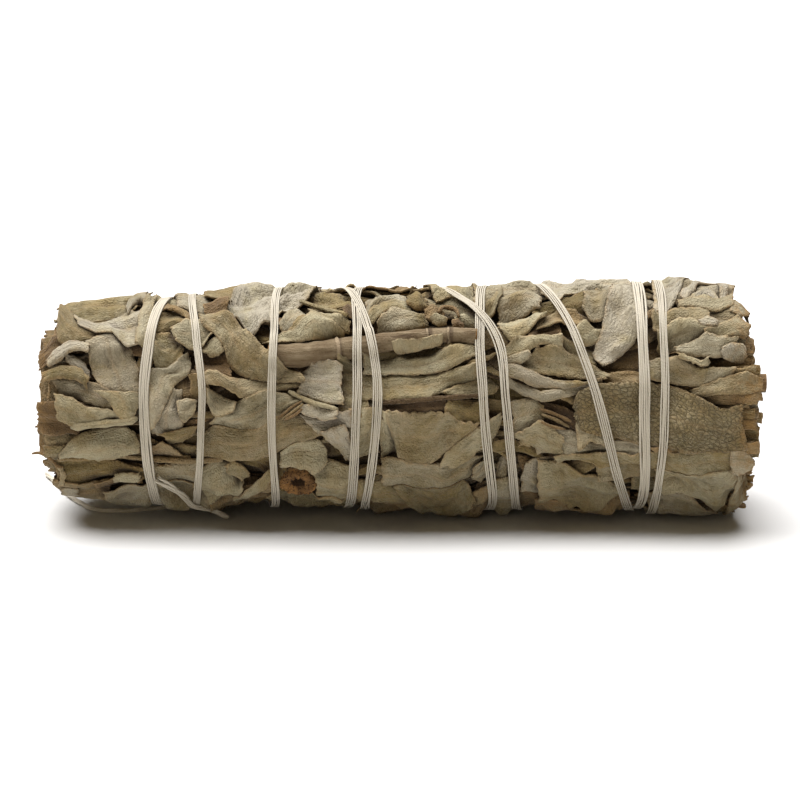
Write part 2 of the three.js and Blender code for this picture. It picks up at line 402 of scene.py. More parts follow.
@dataclass
class Shell:
    """A closed surface: points in millimetres, faces, their map corners, marks on the points, crisp faces."""

    points: Array
    quads: Array
    quad_map: Array
    tris: Array = field(default_factory=lambda: np.zeros((0, 3), int))
    tri_map: Array = field(default_factory=lambda: np.zeros((0, 3, 2)))
    marks: dict[str, Array] = field(default_factory=dict)
    crisp: Array | None = None

    @staticmethod
    def joined(shells: Iterable[Shell]) -> Shell:
        """Join shells into one, shifting the face indices of each past the points before it.

        Args:
            shells: the shells; a mark that one of them lacks is zero there.

        Returns:
            One shell.
        """
        parts = list(shells)
        starts = np.cumsum([0] + [len(p.points) for p in parts[:-1]])
        names = sorted({n for p in parts for n in p.marks})
        return Shell(
            np.concatenate([p.points for p in parts]),
            np.concatenate([p.quads + s for p, s in zip(parts, starts)]),
            np.concatenate([p.quad_map for p in parts]),
            np.concatenate([p.tris + s for p, s in zip(parts, starts)]),
            np.concatenate([p.tri_map for p in parts]),
            {n: np.concatenate([p.marks.get(n, np.zeros(len(p.points))) for p in parts]) for n in names},
            np.concatenate([np.zeros(len(p.quads), bool) if p.crisp is None else p.crisp for p in parts]),
        )

    def to_object(self, name: str, material: Material, node: str, slot: str) -> bpy.types.Object:
        """Write the shell into a mesh object that rides on the bunch.

        Args:
            name: name of the piece.
            material: its finish.
            node: the solid it stands for.
            slot: the record's material slot; not used.

        Returns:
            The new object.
        """
        mesh = bpy.data.meshes.new(name)
        corners = np.concatenate([self.quads.ravel(), self.tris.ravel()]).astype(np.int32)
        count = len(self.quads) + len(self.tris)
        starts = np.concatenate([np.arange(len(self.quads)) * 4,
                                 self.quads.size + np.arange(len(self.tris)) * 3]).astype(np.int32)
        mesh.vertices.add(len(self.points))
        mesh.vertices.foreach_set("co", (self.points * MM).astype(np.float32).ravel())
        mesh.loops.add(len(corners))
        mesh.loops.foreach_set("vertex_index", corners)
        mesh.polygons.add(count)
        mesh.polygons.foreach_set("loop_start", starts)
        smooth = np.ones(count, dtype=bool)
        if self.crisp is not None:
            smooth[:len(self.quads)] = ~self.crisp
        mesh.polygons.foreach_set("use_smooth", smooth)
        mesh.update(calc_edges=True)
        spread = np.concatenate([self.quad_map.reshape(-1, 2), self.tri_map.reshape(-1, 2)])
        mesh.uv_layers.new(name="lay").uv.foreach_set("vector", spread.astype(np.float32).ravel())
        for mark, values in self.marks.items():
            mesh.attributes.new(mark, "FLOAT", "POINT").data.foreach_set("value", values.astype(np.float32))
        mesh.validate()
        mesh.materials.append(material)
        piece = bpy.data.objects.new(name, mesh)
        bpy.context.collection.objects.link(piece)
        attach(piece, "root")
        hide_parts(node)
        LOG.info("%s: %d points, %d faces", name, len(self.points), count)
        return piece


def slab(outer: Array, inner: Array, lay: Array, marks: dict[str, Array]) -> Shell:
    """Closed sheet between two grids of points: both faces and a rim of quads round the border.

    Args:
        outer: grid of points, (rows, columns, 3); rows x columns points outwards.
        inner: the same grid on the inner face.
        lay: map coordinates of the grid, (rows, columns, 2).
        marks: named values on the grid; "deep" is raised on the inner face.

    Returns:
        The closed sheet.
    """
    rows, cols = outer.shape[:2]
    index, front = grid_faces(rows, cols)
    loop = np.concatenate([index[:-1, 0], index[-1, :-1], index[:0:-1, -1], index[0, :0:-1]])
    ahead = np.roll(loop, -1)
    under = rows * cols
    rim = np.stack([loop, loop + under, ahead + under, ahead], -1)
    quads = np.concatenate([front, front[:, ::-1] + under, rim])
    spread = np.concatenate([lay.reshape(-1, 2)] * 2)
    both = {k: np.concatenate([v.ravel()] * 2) for k, v in marks.items()}
    # Painted shade on the inner face, at least this much
    both["deep"][under:] = np.maximum(both["deep"][under:], UNDER_SHADE)
    points = np.concatenate([outer.reshape(-1, 3), inner.reshape(-1, 3)])
    return Shell(points, quads, spread[quads], marks=both, crisp=np.arange(len(quads)) >= 2 * len(front))


def tube(path: Array, up: Array, radius: Array, sides: int, marks: dict[str, Array],
         hole: float = 0.0) -> Shell:
    """Round bar carried along a path, closed by a fan at each end.

    Each ring is the path point plus radius times the cosine and sine of the turn along two
    directions square to the path, the first of them the part of up that is square to it.

    Args:
        path: centre points, (rings, 3).
        up: a direction at each centre point.
        radius: radius at each ring, or of each ring and side.
        sides: points on a ring.
        marks: named values, one per ring.
        hole: depth by which the fan at the far end is sunk.

    Returns:
        The closed bar, mapped by distance along it and share of the turn round it.
    """
    ahead, first, second = path_frame(path, up)
    spin = np.arange(sides) / sides * 2.0 * np.pi
    rings = len(path)
    size = np.broadcast_to(np.asarray(radius, float).reshape(rings, -1), (rings, sides))
    ring = np.cos(spin)[None, :, None] * first[:, None] + np.sin(spin)[None, :, None] * second[:, None]
    body = path[:, None] + ring * size[..., None]
    quads, tris = ring_faces(rings, sides)
    length = run_along(path)
    share = np.arange(sides + 1) / sides
    grid = np.stack(np.broadcast_arrays(length[:, None], share[None, :]), -1)
    quad_map = np.stack([grid[:-1, :-1], grid[:-1, 1:], grid[1:, 1:], grid[1:, :-1]], 2).reshape(-1, 4, 2)
    points = np.concatenate([body.reshape(-1, 3), path[:1], path[-1:] - ahead[-1:] * hole])
    tri_map = np.zeros((len(tris), 3, 2))
    tri_map[..., 0] = np.repeat([length[0], length[-1]], sides)[:, None]
    spread = {k: np.concatenate([np.repeat(v, sides), v[:1], v[-1:]]) for k, v in marks.items()}
    return Shell(points, quads, quad_map, tris, tri_map, spread)


# Finishes

class Wire:
    """A value in a material: an output socket whose arithmetic adds Math nodes."""

    def __init__(self, bench: Bench, socket: bpy.types.NodeSocket) -> None:
        """Hold the socket and the bench it was made on."""
        self.bench = bench
        self.socket = socket

    def _math(self, operation: str, a: Any, b: Any = 0.0) -> Wire:
        """Add one Math node."""
        return self.bench.node("ShaderNodeMath", {"operation": operation}, {0: a, 1: b})

    def __add__(self, other: Any) -> Wire:
        """Sum."""
        return self._math("ADD", self, other)

    def __radd__(self, other: Any) -> Wire:
        """Sum, number first."""
        return self._math("ADD", other, self)

    def __sub__(self, other: Any) -> Wire:
        """Difference."""
        return self._math("SUBTRACT", self, other)

    def __rsub__(self, other: Any) -> Wire:
        """Difference, number first."""
        return self._math("SUBTRACT", other, self)

    def __mul__(self, other: Any) -> Wire:
        """Product."""
        return self._math("MULTIPLY", self, other)

    def __rmul__(self, other: Any) -> Wire:
        """Product, number first."""
        return self._math("MULTIPLY", other, self)

    def step(self, low: float, high: float) -> Wire:
        """Smooth step from 0 at low to 1 at high; low may be the larger."""
        return self.bench.node("ShaderNodeMapRange", {"interpolation_type": "SMOOTHSTEP"},
                               {0: self, 1: low, 2: high, 3: 0.0, 4: 1.0})

    def size(self) -> Wire:
        """The value without its sign."""
        return self._math("ABSOLUTE", self)

    def wave(self) -> Wire:
        """Sine of the value."""
        return self._math("SINE", self)


class Bench:
    """Node tree of one material."""

    def __init__(self, name: str) -> None:
        """Start an empty material.

        Args:
            name: name of the material.
        """
        self.material = bpy.data.materials.new(name)
        self.material.use_nodes = True
        self.tree = self.material.node_tree
        self.tree.nodes.clear()

    def node(self, kind: str, settings: dict[str, Any] | None = None,
             sockets: dict[int | str, Any] | None = None, out: int | str = 0) -> Wire:
        """Add a node.

        Args:
            kind: the node's type.
            settings: its properties, set first.
            sockets: values or wires for its inputs, by number or name.
            out: the output wanted.

        Returns:
            The wire of that output.
        """
        new = self.tree.nodes.new(kind)
        for key, value in (settings or {}).items():
            setattr(new, key, value)
        for key, value in (sockets or {}).items():
            socket = new.inputs[key]
            if isinstance(value, Wire):
                self.tree.links.new(value.socket, socket)
            else:
                socket.default_value = (*value, 1.0) if socket.type == "RGBA" else value
        return Wire(self, new.outputs[out])

    def mix(self, share: Wire | float, a: Wire | Colour, b: Wire | Colour) -> Wire:
        """Blend of two colours."""
        return self.node("ShaderNodeMix", {"data_type": "RGBA", "clamp_factor": True},
                         {0: share, 6: a, 7: b}, 2)

    def mark(self, name: str) -> Wire:
        """A value stored on the points of the piece."""
        return self.node("ShaderNodeAttribute", {"attribute_name": name}, out=2)

    def own_map(self) -> Wire:
        """The piece's own map, in millimetres."""
        return self.node("ShaderNodeUVMap", {"uv_map": "lay"})

    def on_object(self) -> Wire:
        """Object coordinates, in metres."""
        return self.node("ShaderNodeTexCoord", out=3)

    def scaled(self, spot: Wire, along: float, across: float | None = None) -> Wire:
        """Coordinates times one number, or times one along X and another across it."""
        across = along if across is None else across
        return self.node("ShaderNodeMapping", {}, {0: spot, 3: (along, across, across)})

    def part(self, spot: Wire, axis: int) -> Wire:
        """One of the three parts of a vector."""
        return self.node("ShaderNodeSeparateXYZ", {}, {0: spot}, axis)

    def noise(self, spot: Wire, scale: float, detail: float = 3.0, rough: float = 0.55) -> Wire:
        """Cloudy noise between 0 and 1."""
        return self.node("ShaderNodeTexNoise", {}, {"Vector": spot, "Scale": scale, "Detail": detail,
                                                    "Roughness": rough})

    def cracks(self, spot: Wire, scale: float) -> Wire:
        """Distance to the nearest edge of a net of cells."""
        return self.node("ShaderNodeTexVoronoi", {"feature": "DISTANCE_TO_EDGE"},
                         {"Vector": spot, "Scale": scale})

    def finish(self, colour: Wire, roughness: Wire, height: Wire, depth: float, sheen: float = 0.0,
               sheen_tint: Colour = (1.0, 1.0, 1.0)) -> Material:
        """Close the tree with a bump and a matte surface.

        Args:
            colour: base colour.
            roughness: roughness.
            height: relief, 0 to 1.
            depth: millimetres that a height of one stands for.
            sheen: weight of the soft bloom.
            sheen_tint: its colour.

        Returns:
            The finished material.
        """
        bump = self.node("ShaderNodeBump", {}, {"Strength": 1.0, "Distance": depth * MM, "Height": height})
        surface = self.node("ShaderNodeBsdfPrincipled", {}, {
            "Base Color": colour, "Roughness": roughness, "Normal": bump, "Specular IOR Level": 0.2,
            "Sheen Weight": sheen, "Sheen Roughness": 0.6, "Sheen Tint": sheen_tint})
        end = self.tree.nodes.new("ShaderNodeOutputMaterial")
        self.tree.links.new(surface.socket, end.inputs["Surface"])
        return self.material


class Tint(Enum):
    """Shade of a leaf: how silvery it is, and how brown."""

    SILVER = (1.0, 0.0)
    CREAM = (1.0, 0.02)
    PALE = (0.74, 0.04)
    SAGE = (0.46, 0.10)
    GOLD = (0.42, 0.30)
    OLIVE = (0.12, 0.22)
    TAN = (0.42, 0.50)
    RUST = (0.22, 0.86)
    BARK = (0.0, 1.0)

    def marks(self, like: Array, **more: Array | float) -> dict[str, Array]:
        """Marks of this shade and further ones, arrays or numbers, in the shape of an array."""
        shade = dict(zip(("pale", "brown"), self.value))
        return {name: value * np.ones_like(like) for name, value in {**shade, **more}.items()}


SILVER, CREAM, PALE, SAGE, GOLD, OLIVE, TAN, RUST, BARK = Tint


@dataclass(frozen=True)
class LeafFinish:
    """Felted dry leaf: silver bloom over grey-green, browned at the rims and cut ends; painted rim highlights
    and shade.
    """

    olive: Colour = (0.131, 0.096, 0.033)
    silver: Colour = (0.390, 0.344, 0.222)
    gold: Colour = (0.280, 0.198, 0.074)
    tan: Colour = (0.215, 0.130, 0.053)
    bark: Colour = (0.038, 0.020, 0.009)
    cut: Colour = (0.235, 0.132, 0.040)
    ash: Colour = (0.415, 0.372, 0.296)
    blush: Colour = (0.245, 0.155, 0.092)
    # Orange-brown of a dry margin, partly a painted highlight along the edges
    rim: Colour = (0.330, 0.215, 0.098)
    vein_and_crease_shade: Colour = (0.085, 0.064, 0.030)
    bloom: Colour = (0.95, 0.95, 0.86)
    middle: float = -0.0012
    cut_from: Span = (0.0436, 0.0478)

    def make(self, name: str) -> Material:
        """Build the material; the leaf's own map runs along and across it in millimetres.

        Args:
            name: name of the material.

        Returns:
            The finished material.
        """
        b = Bench(name)
        own = b.own_map()
        lay = b.scaled(own, 1.0)
        cloud = b.noise(lay, 0.22, 4.0, 0.6)
        mottle = b.noise(lay, 1.1, 4.0, 0.65)
        felt = b.noise(lay, 4.2, 3.0, 0.7)
        fold = b.noise(b.scaled(own, 0.12, 1.0), 1.3, 3.0, 0.6)
        cells = b.cracks(b.scaled(own, 0.85, 1.15), 1.7)
        fine = b.cracks(lay, 2.6)
        veined = b.mark("veined")
        colour = self._felted(b, lay, cloud, mottle)
        colour = self._browned(b, lay, colour, mottle)
        net = cells.step(0.11, 0.0) * (veined * 0.80 + 0.03) + fine.step(0.12, 0.0) * (veined * 0.10 + 0.05)
        colour = b.mix(net, colour, self.vein_and_crease_shade)
        colour = self._specks_rib_and_rim_highlight(b, lay, colour, mottle)
        # Painted shade along the folds and in the pits of the felt, towards the dark colour of the veins
        colour = b.mix(fold.step(0.44, 0.30) * 0.36 + felt.step(0.42, 0.28) * 0.14, colour, self.vein_and_crease_shade)
        colour = self._cut_ends_and_painted_shade(b, lay, colour, mottle)
        height = (cells.step(0.0, 0.3) * (veined * 0.38 + 0.05) + fine.step(0.0, 0.3) * 0.16 + felt * 0.26
                  + fold * 0.8 + mottle * 0.45)
        return b.finish(colour, 0.82 + felt * 0.14, height, 0.5, 0.08, self.bloom)

    def _felted(self, b: Bench, lay: Wire, cloud: Wire, mottle: Wire) -> Wire:
        """Green and silver of a sound leaf.

        Args:
            b: the material.
            lay: the leaf's map.
            cloud: broad noise.
            mottle: finer noise.

        Returns:
            Colour.
        """
        pale = b.mark("pale") + (cloud - 0.5) * 1.15 + (mottle - 0.5) * 0.95
        colour = b.mix(pale.step(-0.1, 1.1), self.olive, self.silver)
        colour = b.mix(b.noise(lay, 0.17, 3.0, 0.6).step(0.42, 0.68) * 0.55, colour, self.gold)
        ash = b.mix(mottle * 0.3, self.ash, self.olive)
        colour = b.mix(b.mark("ash") * cloud.step(0.25, 0.6), colour, ash)
        colour = b.mix(b.mark("blush") * cloud.step(0.7, 0.35), colour, self.blush)
        worn = (b.noise(lay, 2.6, 5.0, 0.75) - 0.5).size().step(0.05, 0.22)
        return b.mix(worn * 0.30, colour, self.olive)

    def _browned(self, b: Bench, lay: Wire, colour: Wire, mottle: Wire) -> Wire:
        """Brown of an old leaf, in patches.

        Args:
            b: the material.
            lay: the leaf's map.
            colour: colour so far.
            mottle: fine noise.

        Returns:
            Colour.
        """
        mark = b.mark("brown")
        patches = mark + (b.noise(lay, 0.35, 4.0, 0.7) - 0.5) * 0.8 + (mottle - 0.5) * 0.35
        return b.mix(patches.step(0.1, 0.95), colour, b.mix(mark.step(0.75, 1.05), self.tan, self.bark))

    def _specks_rib_and_rim_highlight(self, b: Bench, lay: Wire, colour: Wire, mottle: Wire) -> Wire:
        """Specks, a pale middle rib, and a dry rim that is partly a painted highlight along the edges.

        Args:
            b: the material.
            lay: the leaf's map.
            colour: colour so far.
            mottle: fine noise.

        Returns:
            Colour.
        """
        colour = b.mix((mottle * b.noise(lay, 2.3, 2.0)).step(0.40, 0.52) * 0.35, colour, self.tan)
        colour = b.mix(b.noise(lay, 3.1, 3.0, 0.7).step(0.34, 0.24) * 0.35, colour, self.bark)
        # Dry margin along the rims, partly a painted highlight where the edges catch the light
        dry = b.mark("rim") * mottle.step(0.25, 0.7)
        return b.mix(dry * 0.75 + b.mark("rib") * 0.4, colour, self.rim)

    def _cut_ends_and_painted_shade(self, b: Bench, lay: Wire, colour: Wire, mottle: Wire) -> Wire:
        """Browned cut ends of the bunch, and painted shade on leaves that lie under others or face inwards.

        Args:
            b: the material.
            lay: the leaf's map.
            colour: colour so far.
            mottle: fine noise.

        Returns:
            Colour.
        """
        reach = (b.part(b.on_object(), 0) - self.middle).size() + (mottle - 0.5) * 0.006
        ends = reach.step(*self.cut_from) * b.noise(lay, 0.8, 3.0).step(0.3, 0.65)
        # Painted shade: blend towards the dark bark colour where the leaf lies under others or faces inwards
        return b.mix(b.mark("deep") * 0.85, b.mix(ends * 0.8, colour, self.cut), self.bark)


@dataclass(frozen=True)
class StemFinish:
    """Dry twig: streaked pinkish brown bark with grey bloom and darker scars."""

    bark: Colour = (0.130, 0.089, 0.047)
    bloom: Colour = (0.255, 0.196, 0.118)
    collar: Colour = (0.340, 0.260, 0.165)
    scar: Colour = (0.045, 0.024, 0.012)
    wood: Colour = (0.310, 0.160, 0.054)

    def make(self, name: str) -> Material:
        """Build the material; streaks run along X.

        Args:
            name: name of the material.

        Returns:
            The finished material.
        """
        b = Bench(name)
        spot = b.on_object()
        free = b.scaled(spot, 1000.0)
        streak = b.noise(b.scaled(spot, 130.0, 1400.0), 1.0, 4.0, 0.65)
        blotch = b.noise(free, 0.35, 3.0, 0.6)
        grit = b.noise(free, 4.0, 2.0, 0.6)
        colour = b.mix((streak * 0.7 + blotch * 0.5).step(0.48, 0.86), self.bark, self.bloom)
        colour = b.mix(streak.step(0.43, 0.30) * 0.7, colour, self.scar)
        colour = b.mix(b.mark("collar") * 0.7, colour, self.collar)
        grain = b.mix(blotch.step(0.45, 0.65) * 0.6 + grit.step(0.52, 0.66) * 0.8, self.wood, self.scar)
        colour = b.mix(b.mark("cut"), colour, grain)
        colour = b.mix(b.mark("ring") * 0.95, colour, self.scar)
        return b.finish(colour, 0.75 + grit * 0.15, streak * 0.9 + grit * 0.4, 0.45)


@dataclass(frozen=True)
class ThreadFinish:
    """Undyed cotton: cream, two plies twisted together, with fine fibres."""

    cotton: Colour = (0.50, 0.452, 0.358)
    shade: Colour = (0.30, 0.25, 0.17)
    twist: float = 14.0
    plies: int = 2

    def make(self, name: str) -> Material:
        """Build the material; the strand's map gives millimetres along it and the turn round it.

        Args:
            name: name of the material.

        Returns:
            The finished material.
        """
        b = Bench(name)
        own, spot = b.own_map(), b.on_object()
        round_it = b.part(own, 1) * (2.0 * math.pi * self.plies)
        ply = (b.part(own, 0) * self.twist + round_it).wave() * 0.5 + 0.5
        fibre = b.noise(b.scaled(spot, 9000.0), 1.0, 3.0, 0.7)
        dust = b.noise(b.scaled(spot, 160.0), 1.0, 3.0, 0.6)
        # Painted shade in the grooves between the plies, and patches of dust
        colour = b.mix((1.0 - ply) * 0.16 + dust.step(0.5, 0.75) * 0.3, self.cotton, self.shade)
        return b.finish(colour, 0.85 + fibre * 0.1, ply * 0.5 + fibre * 0.5, 0.03, 0.2)


# Leaves laid one over another

@dataclass
class Surface:
    """Layer radius of the outermost leaf laid so far, on a grid of x and turn.

    Further grids hold what the thread can not press down, by how much the stack of leaves shrinks
    when the bunch is drawn tight, and where the leaves are parted.
    """

    radius: float
    step: float = 0.3
    reach: float = 56.0
    under: float = 0.2
    least: float = 0.3
    smooth: int = 13
    peak_from: float = 15.5
    peak_room: float = 0.9

    def __post_init__(self) -> None:
        """Start from a plain roll."""
        self.count_x = int(2 * self.reach / self.step)
        self.count_turn = int(round(2 * math.pi * UNROLL / self.step))
        self.pace = 2 * math.pi * UNROLL / self.count_turn
        self.base = self.radius - self.under
        self.height = np.full((self.count_x, self.count_turn), self.radius)
        self.hard = np.zeros_like(self.height)
        self.share = np.ones_like(self.height)
        self.parted = np.zeros(self.height.shape, bool)

    def places(self) -> Array:
        """The x of each row of the grid."""
        return np.arange(self.count_x) * self.step - self.reach

    def cell(self, x: Array, turn: Array) -> tuple[Array, Array]:
        """Grid coordinates of points given by x and turn."""
        return np.clip((x + self.reach) / self.step, 0, self.count_x - 1.001), turn / self.pace

    def read(self, x: Array, turn: Array, grid: Array | None = None) -> Array:
        """Value between the four nearest grid points, weighted by nearness.

        Args:
            x: places along the bunch.
            turn: turns.
            grid: what to read; the heights if not given.

        Returns:
            The values.
        """
        grid = self.height if grid is None else grid
        i, j = self.cell(x, turn)
        i0, j0 = np.floor(i).astype(int), np.floor(j).astype(int)
        di, dj = i - i0, j - j0
        a, c = j0 % self.count_turn, (j0 + 1) % self.count_turn
        return ((grid[i0, a] * (1 - dj) + grid[i0, c] * dj) * (1 - di)
                + (grid[i0 + 1, a] * (1 - dj) + grid[i0 + 1, c] * dj) * di)

    def lay(self, x: Array, turn: Array, radius: Array, hard: bool = False) -> None:
        """Raise the grid to a sheet, sampled three times as finely as its own grid.

        Args:
            x: grid of places along the bunch.
            turn: grid of turns.
            radius: grid of outer radii.
            hard: whether the thread can not press it down.
        """
        fine = [self._finer(a) for a in (x, turn, radius)]
        i, j = self.cell(fine[0].ravel(), fine[1].ravel())
        where = (np.round(i).astype(int), np.round(j).astype(int) % self.count_turn)
        np.maximum.at(self.height, where, fine[2].ravel())
        if hard:
            np.maximum.at(self.hard, where, fine[2].ravel())

    def blurred(self, cells: int) -> Array:
        """The heights averaged twice over a square of so many cells.

        Args:
            cells: side of the square, an odd number.

        Returns:
            Grid of averages.
        """
        mean = self.height
        for axis in (0, 1, 0, 1):
            mean = sum(np.roll(mean, k, axis) for k in range(-(cells // 2), cells // 2 + 1)) / cells
        return mean

    def draw_tight(self, form: Form) -> None:
        """Find by how much the stack of leaves shrinks, so that its mean height sinks as the form says."""
        mean = np.maximum(self.blurred(self.smooth), self.base + self.least)
        self.share = (form.squeezed(mean) - self.base) / (mean - self.base)

    def drawn(self, x: Array, turn: Array, radius: Array) -> Array:
        """Layer radius of points once the bunch is drawn tight; single peaks are held back a little."""
        radius = self.base + (radius - self.base) * self.read(x, turn, self.share)
        return sunk(radius, self.peak_from, self.peak_room)

    @staticmethod
    def _finer(a: Array) -> Array:
        """Put two straight-line values between neighbours, along both axes.

        Args:
            a: grid.

        Returns:
            The finer grid.
        """
        for axis in (0, 1):
            size = a.shape[axis]
            at = np.linspace(0, size - 1, 3 * size - 2)
            k = np.minimum(at.astype(int), size - 2)
            t = (at - k).reshape(-1, 1) if axis == 0 else (at - k)
            a = np.take(a, k, axis) * (1 - t) + np.take(a, k + 1, axis) * t
        return a


@dataclass(frozen=True)
class Leaf:
    """A leaf or piece of leaf, outlined by two edges that run from its start to its end.

    An edge is text with picture points, or rows of x and turn. The four lifts are those of the upper
    edge, the lower edge, the start and the end. A leaf of higher rank lies over one of lower rank.
    """

    tint: Tint
    upper: str | Array
    lower: str | Array
    camber: float = 0.4
    roll: float = 0.0
    lift: tuple[float, float, float, float] = (0.0, 0.0, 0.0, 0.0)
    rank: int = 2
    veined: float = 0.12
    rough: float = 0.10
    teeth: float = 0.0
    crumple: float = 0.31
    cell: float = 0.34
    tuck: float = 0.0
    deep: float = 0.0
    soft: float = 0.30
    rib: float = 0.6
# Painted shade over the whole leaf, for leaves that lie under others


@dataclass
class Laid:
    """A leaf in place: grids of x, turn and outer radius, its map and its marks."""

    x: Array
    turn: Array
    radius: Array
    lay: Array
    marks: dict[str, Array]


class Blade:
    """Grid over a leaf: shares along and across it, and distances from its edges."""

    columns = (7, 90)
    rib_half = 0.26
    rib_from = (2.0, 4.0)

    def __init__(self, upper: Array, lower: Array, length: float, cell: float) -> None:
        """Spread the grid between two edges of as many points.

        Args:
            upper: upper edge.
            lower: lower edge.
            length: length of the leaf.
            cell: distance between points of the grid.
        """
        self.length = length
        self.width = np.linalg.norm(upper - lower, axis=1)
        cols = int(np.clip(self.width.max() / cell, *self.columns)) | 1
        self.u = np.linspace(0.0, 1.0, len(upper))[:, None]
        self.v = np.linspace(0.0, 1.0, cols)[None, :]
        self.run = self.u[:, 0] * length
        self.across = self.width[:, None] * np.ones_like(self.v)
        self.side = 2 * self.v - 1
        self.margins = ((1 - self.v) * self.across, self.v * self.across,
                        self.u * length + 0 * self.v, (1 - self.u) * length + 0 * self.v)
        self.tip = np.minimum(self.margins[2], self.margins[3])
        self.rim = np.minimum(np.minimum(self.margins[0], self.margins[1]), self.tip)

    def rib(self, strength: float) -> Array:
        """Middle rib: a narrow bell across the leaf, where it is wide enough."""
        bell = np.exp(-(self.side * self.across / 2 / self.rib_half) ** 2)
        return bell * smoothstep(self.across, *self.rib_from) * strength


@dataclass
class Drape:
    """Lays leaves one after another on the growing surface of the bunch."""

    form: Form
    view: Viewpoint
    surface: Surface
    outline_radius: float = 14.9
    thickness: float = 0.21
    least: float = 0.12
    thinnest: float = 0.3
    rows: tuple[int, int] = (8, 260)
    rests: int = 30
    tooth: float = 1.15
    edge_curl: float = 1.9
    rim_curl: float = 0.9
    map_range: float = 400.0
    rng: np.random.Generator = field(default_factory=Seed.DRAPE.draws)

    def lay(self, leaf: Leaf) -> Laid:
        """Lay one leaf.

        The leaf is the straight span between its two edges. It rests as a membrane on what lies
        below. On top come its thickness, a camber across it, lifted edges and low ripples.

        Args:
            leaf: the leaf.

        Returns:
            The leaf in place.
        """
        upper, lower, lift = self._edges(leaf)
        length = 0.5 * (line_length(upper) + line_length(lower))
        rows = int(np.clip(length / leaf.cell, *self.rows))
        upper, lower = even(upper, rows, leaf.soft), even(lower, rows, leaf.soft)
        blade = Blade(upper, lower, length, leaf.cell)
        x, turn = self._torn(leaf, blade, upper, lower)
        base = self.surface.read(x, turn)
        relief = self._relief(leaf, blade, lift)
        radius = np.maximum(self._rested(base) + self.thickness + relief, base + self.least)
        self.surface.lay(x, turn, radius)
        return Laid(x, turn, radius, *self._looks(leaf, blade))

    def _edges(self, leaf: Leaf) -> tuple[Array, Array, tuple[float, ...]]:
        """Both edges of a leaf on the roll, in the order that turns its face outwards.

        Args:
            leaf: the leaf.

        Returns:
            The upper edge, the lower edge and the lifts, swapped together where need be.
        """
        upper, lower = (self.view.onto(edge, self.form, self.outline_radius) if isinstance(edge, str)
                        else edge for edge in (leaf.upper, leaf.lower))
        lift = leaf.lift
        loop = np.concatenate([lower, upper[::-1]])
        ahead = np.roll(loop, -1, axis=0)
        if (loop[:, 0] * ahead[:, 1] - loop[:, 1] * ahead[:, 0]).sum() < 0:
            upper, lower = lower, upper
            lift = (lift[1], lift[0], *lift[2:])
        if leaf.tuck > 0.0:
            upper, lower = self._tucked(upper, lower, leaf.tuck)
        return upper, lower, lift

    def _tucked(self, upper: Array, lower: Array, tuck: float) -> tuple[Array, Array]:
        """Move both edges outwards from the middle of the leaf, where its neighbours cover it.

        Args:
            upper: upper edge.
            lower: lower edge.
            tuck: distance by which they move.

        Returns:
            The two edges.
        """
        count = 4 * max(len(upper), len(lower))
        upper, lower = even(upper, count, 0.4), even(lower, count, 0.4)
        across = upper - lower
        across /= np.maximum(np.linalg.norm(across, axis=1, keepdims=True), self.thinnest)
        ends = self._spine(upper, lower) * np.linspace(-1.0, 1.0, count)[:, None] ** 5
        return upper + tuck * (across + ends), lower - tuck * (across - ends)

    @staticmethod
    def _spine(upper: Array, lower: Array) -> Array:
        """Direction along the middle of a leaf."""
        along = np.gradient(0.5 * (upper + lower), axis=0)
        return along / (np.linalg.norm(along, axis=1, keepdims=True) + 1e-9)

    def _torn(self, leaf: Leaf, blade: Blade, upper: Array, lower: Array) -> tuple[Array, Array]:
        """Points of the leaf, its edges and ends frayed by seeded waves and set with teeth.

        Args:
            leaf: the leaf.
            blade: its grid.
            upper: upper edge.
            lower: lower edge.

        Returns:
            Grids of x and turn.
        """
        across = (upper - lower) / np.maximum(blade.width, self.thinnest)[:, None]
        along = self._spine(upper, lower)
        fray, drift = Ripple(self.rng, 1.0), Ripple(self.rng, 5.0)
        run, v = blade.run, blade.v
        scallop = leaf.teeth * np.abs(np.sin(run * np.pi / self.tooth))
        top = leaf.rough * (fray(run, 0.0) + drift(run, 3.0)) + scallop
        bottom = leaf.rough * (fray(run, 9.0) + drift(run, 7.0)) + 0.06 * (blade.width < self.thinnest)
        upper = upper + across * top[:, None]
        lower = lower - across * bottom[:, None]
        spot = lower[:, None] * (1 - v[..., None]) + upper[:, None] * v[..., None]
        end = np.exp(-np.minimum(blade.u, 1 - blade.u) * blade.length / 0.8) * np.sign(blade.u - 0.5)
        wide = v * blade.width.mean()
        ragged = end * leaf.rough * 1.6 * (fray(wide, 17.0) + drift(wide, 4.0))
        spot = spot + along[:, None] * ragged[..., None]
        return spot[..., 0], spot[..., 1]

    def _rested(self, base: Array) -> Array:
        """Height of a membrane: the mean of its neighbours or the base, whichever is higher, many times.

        Args:
            base: grid of heights below it.

        Returns:
            Grid of its heights.
        """
        rest = base
        for _ in range(self.rests):
            padded = np.pad(rest, 1, mode="edge")
            mean = 0.25 * (padded[:-2, 1:-1] + padded[2:, 1:-1] + padded[1:-1, :-2] + padded[1:-1, 2:])
            rest = np.maximum(base, mean)
        return rest

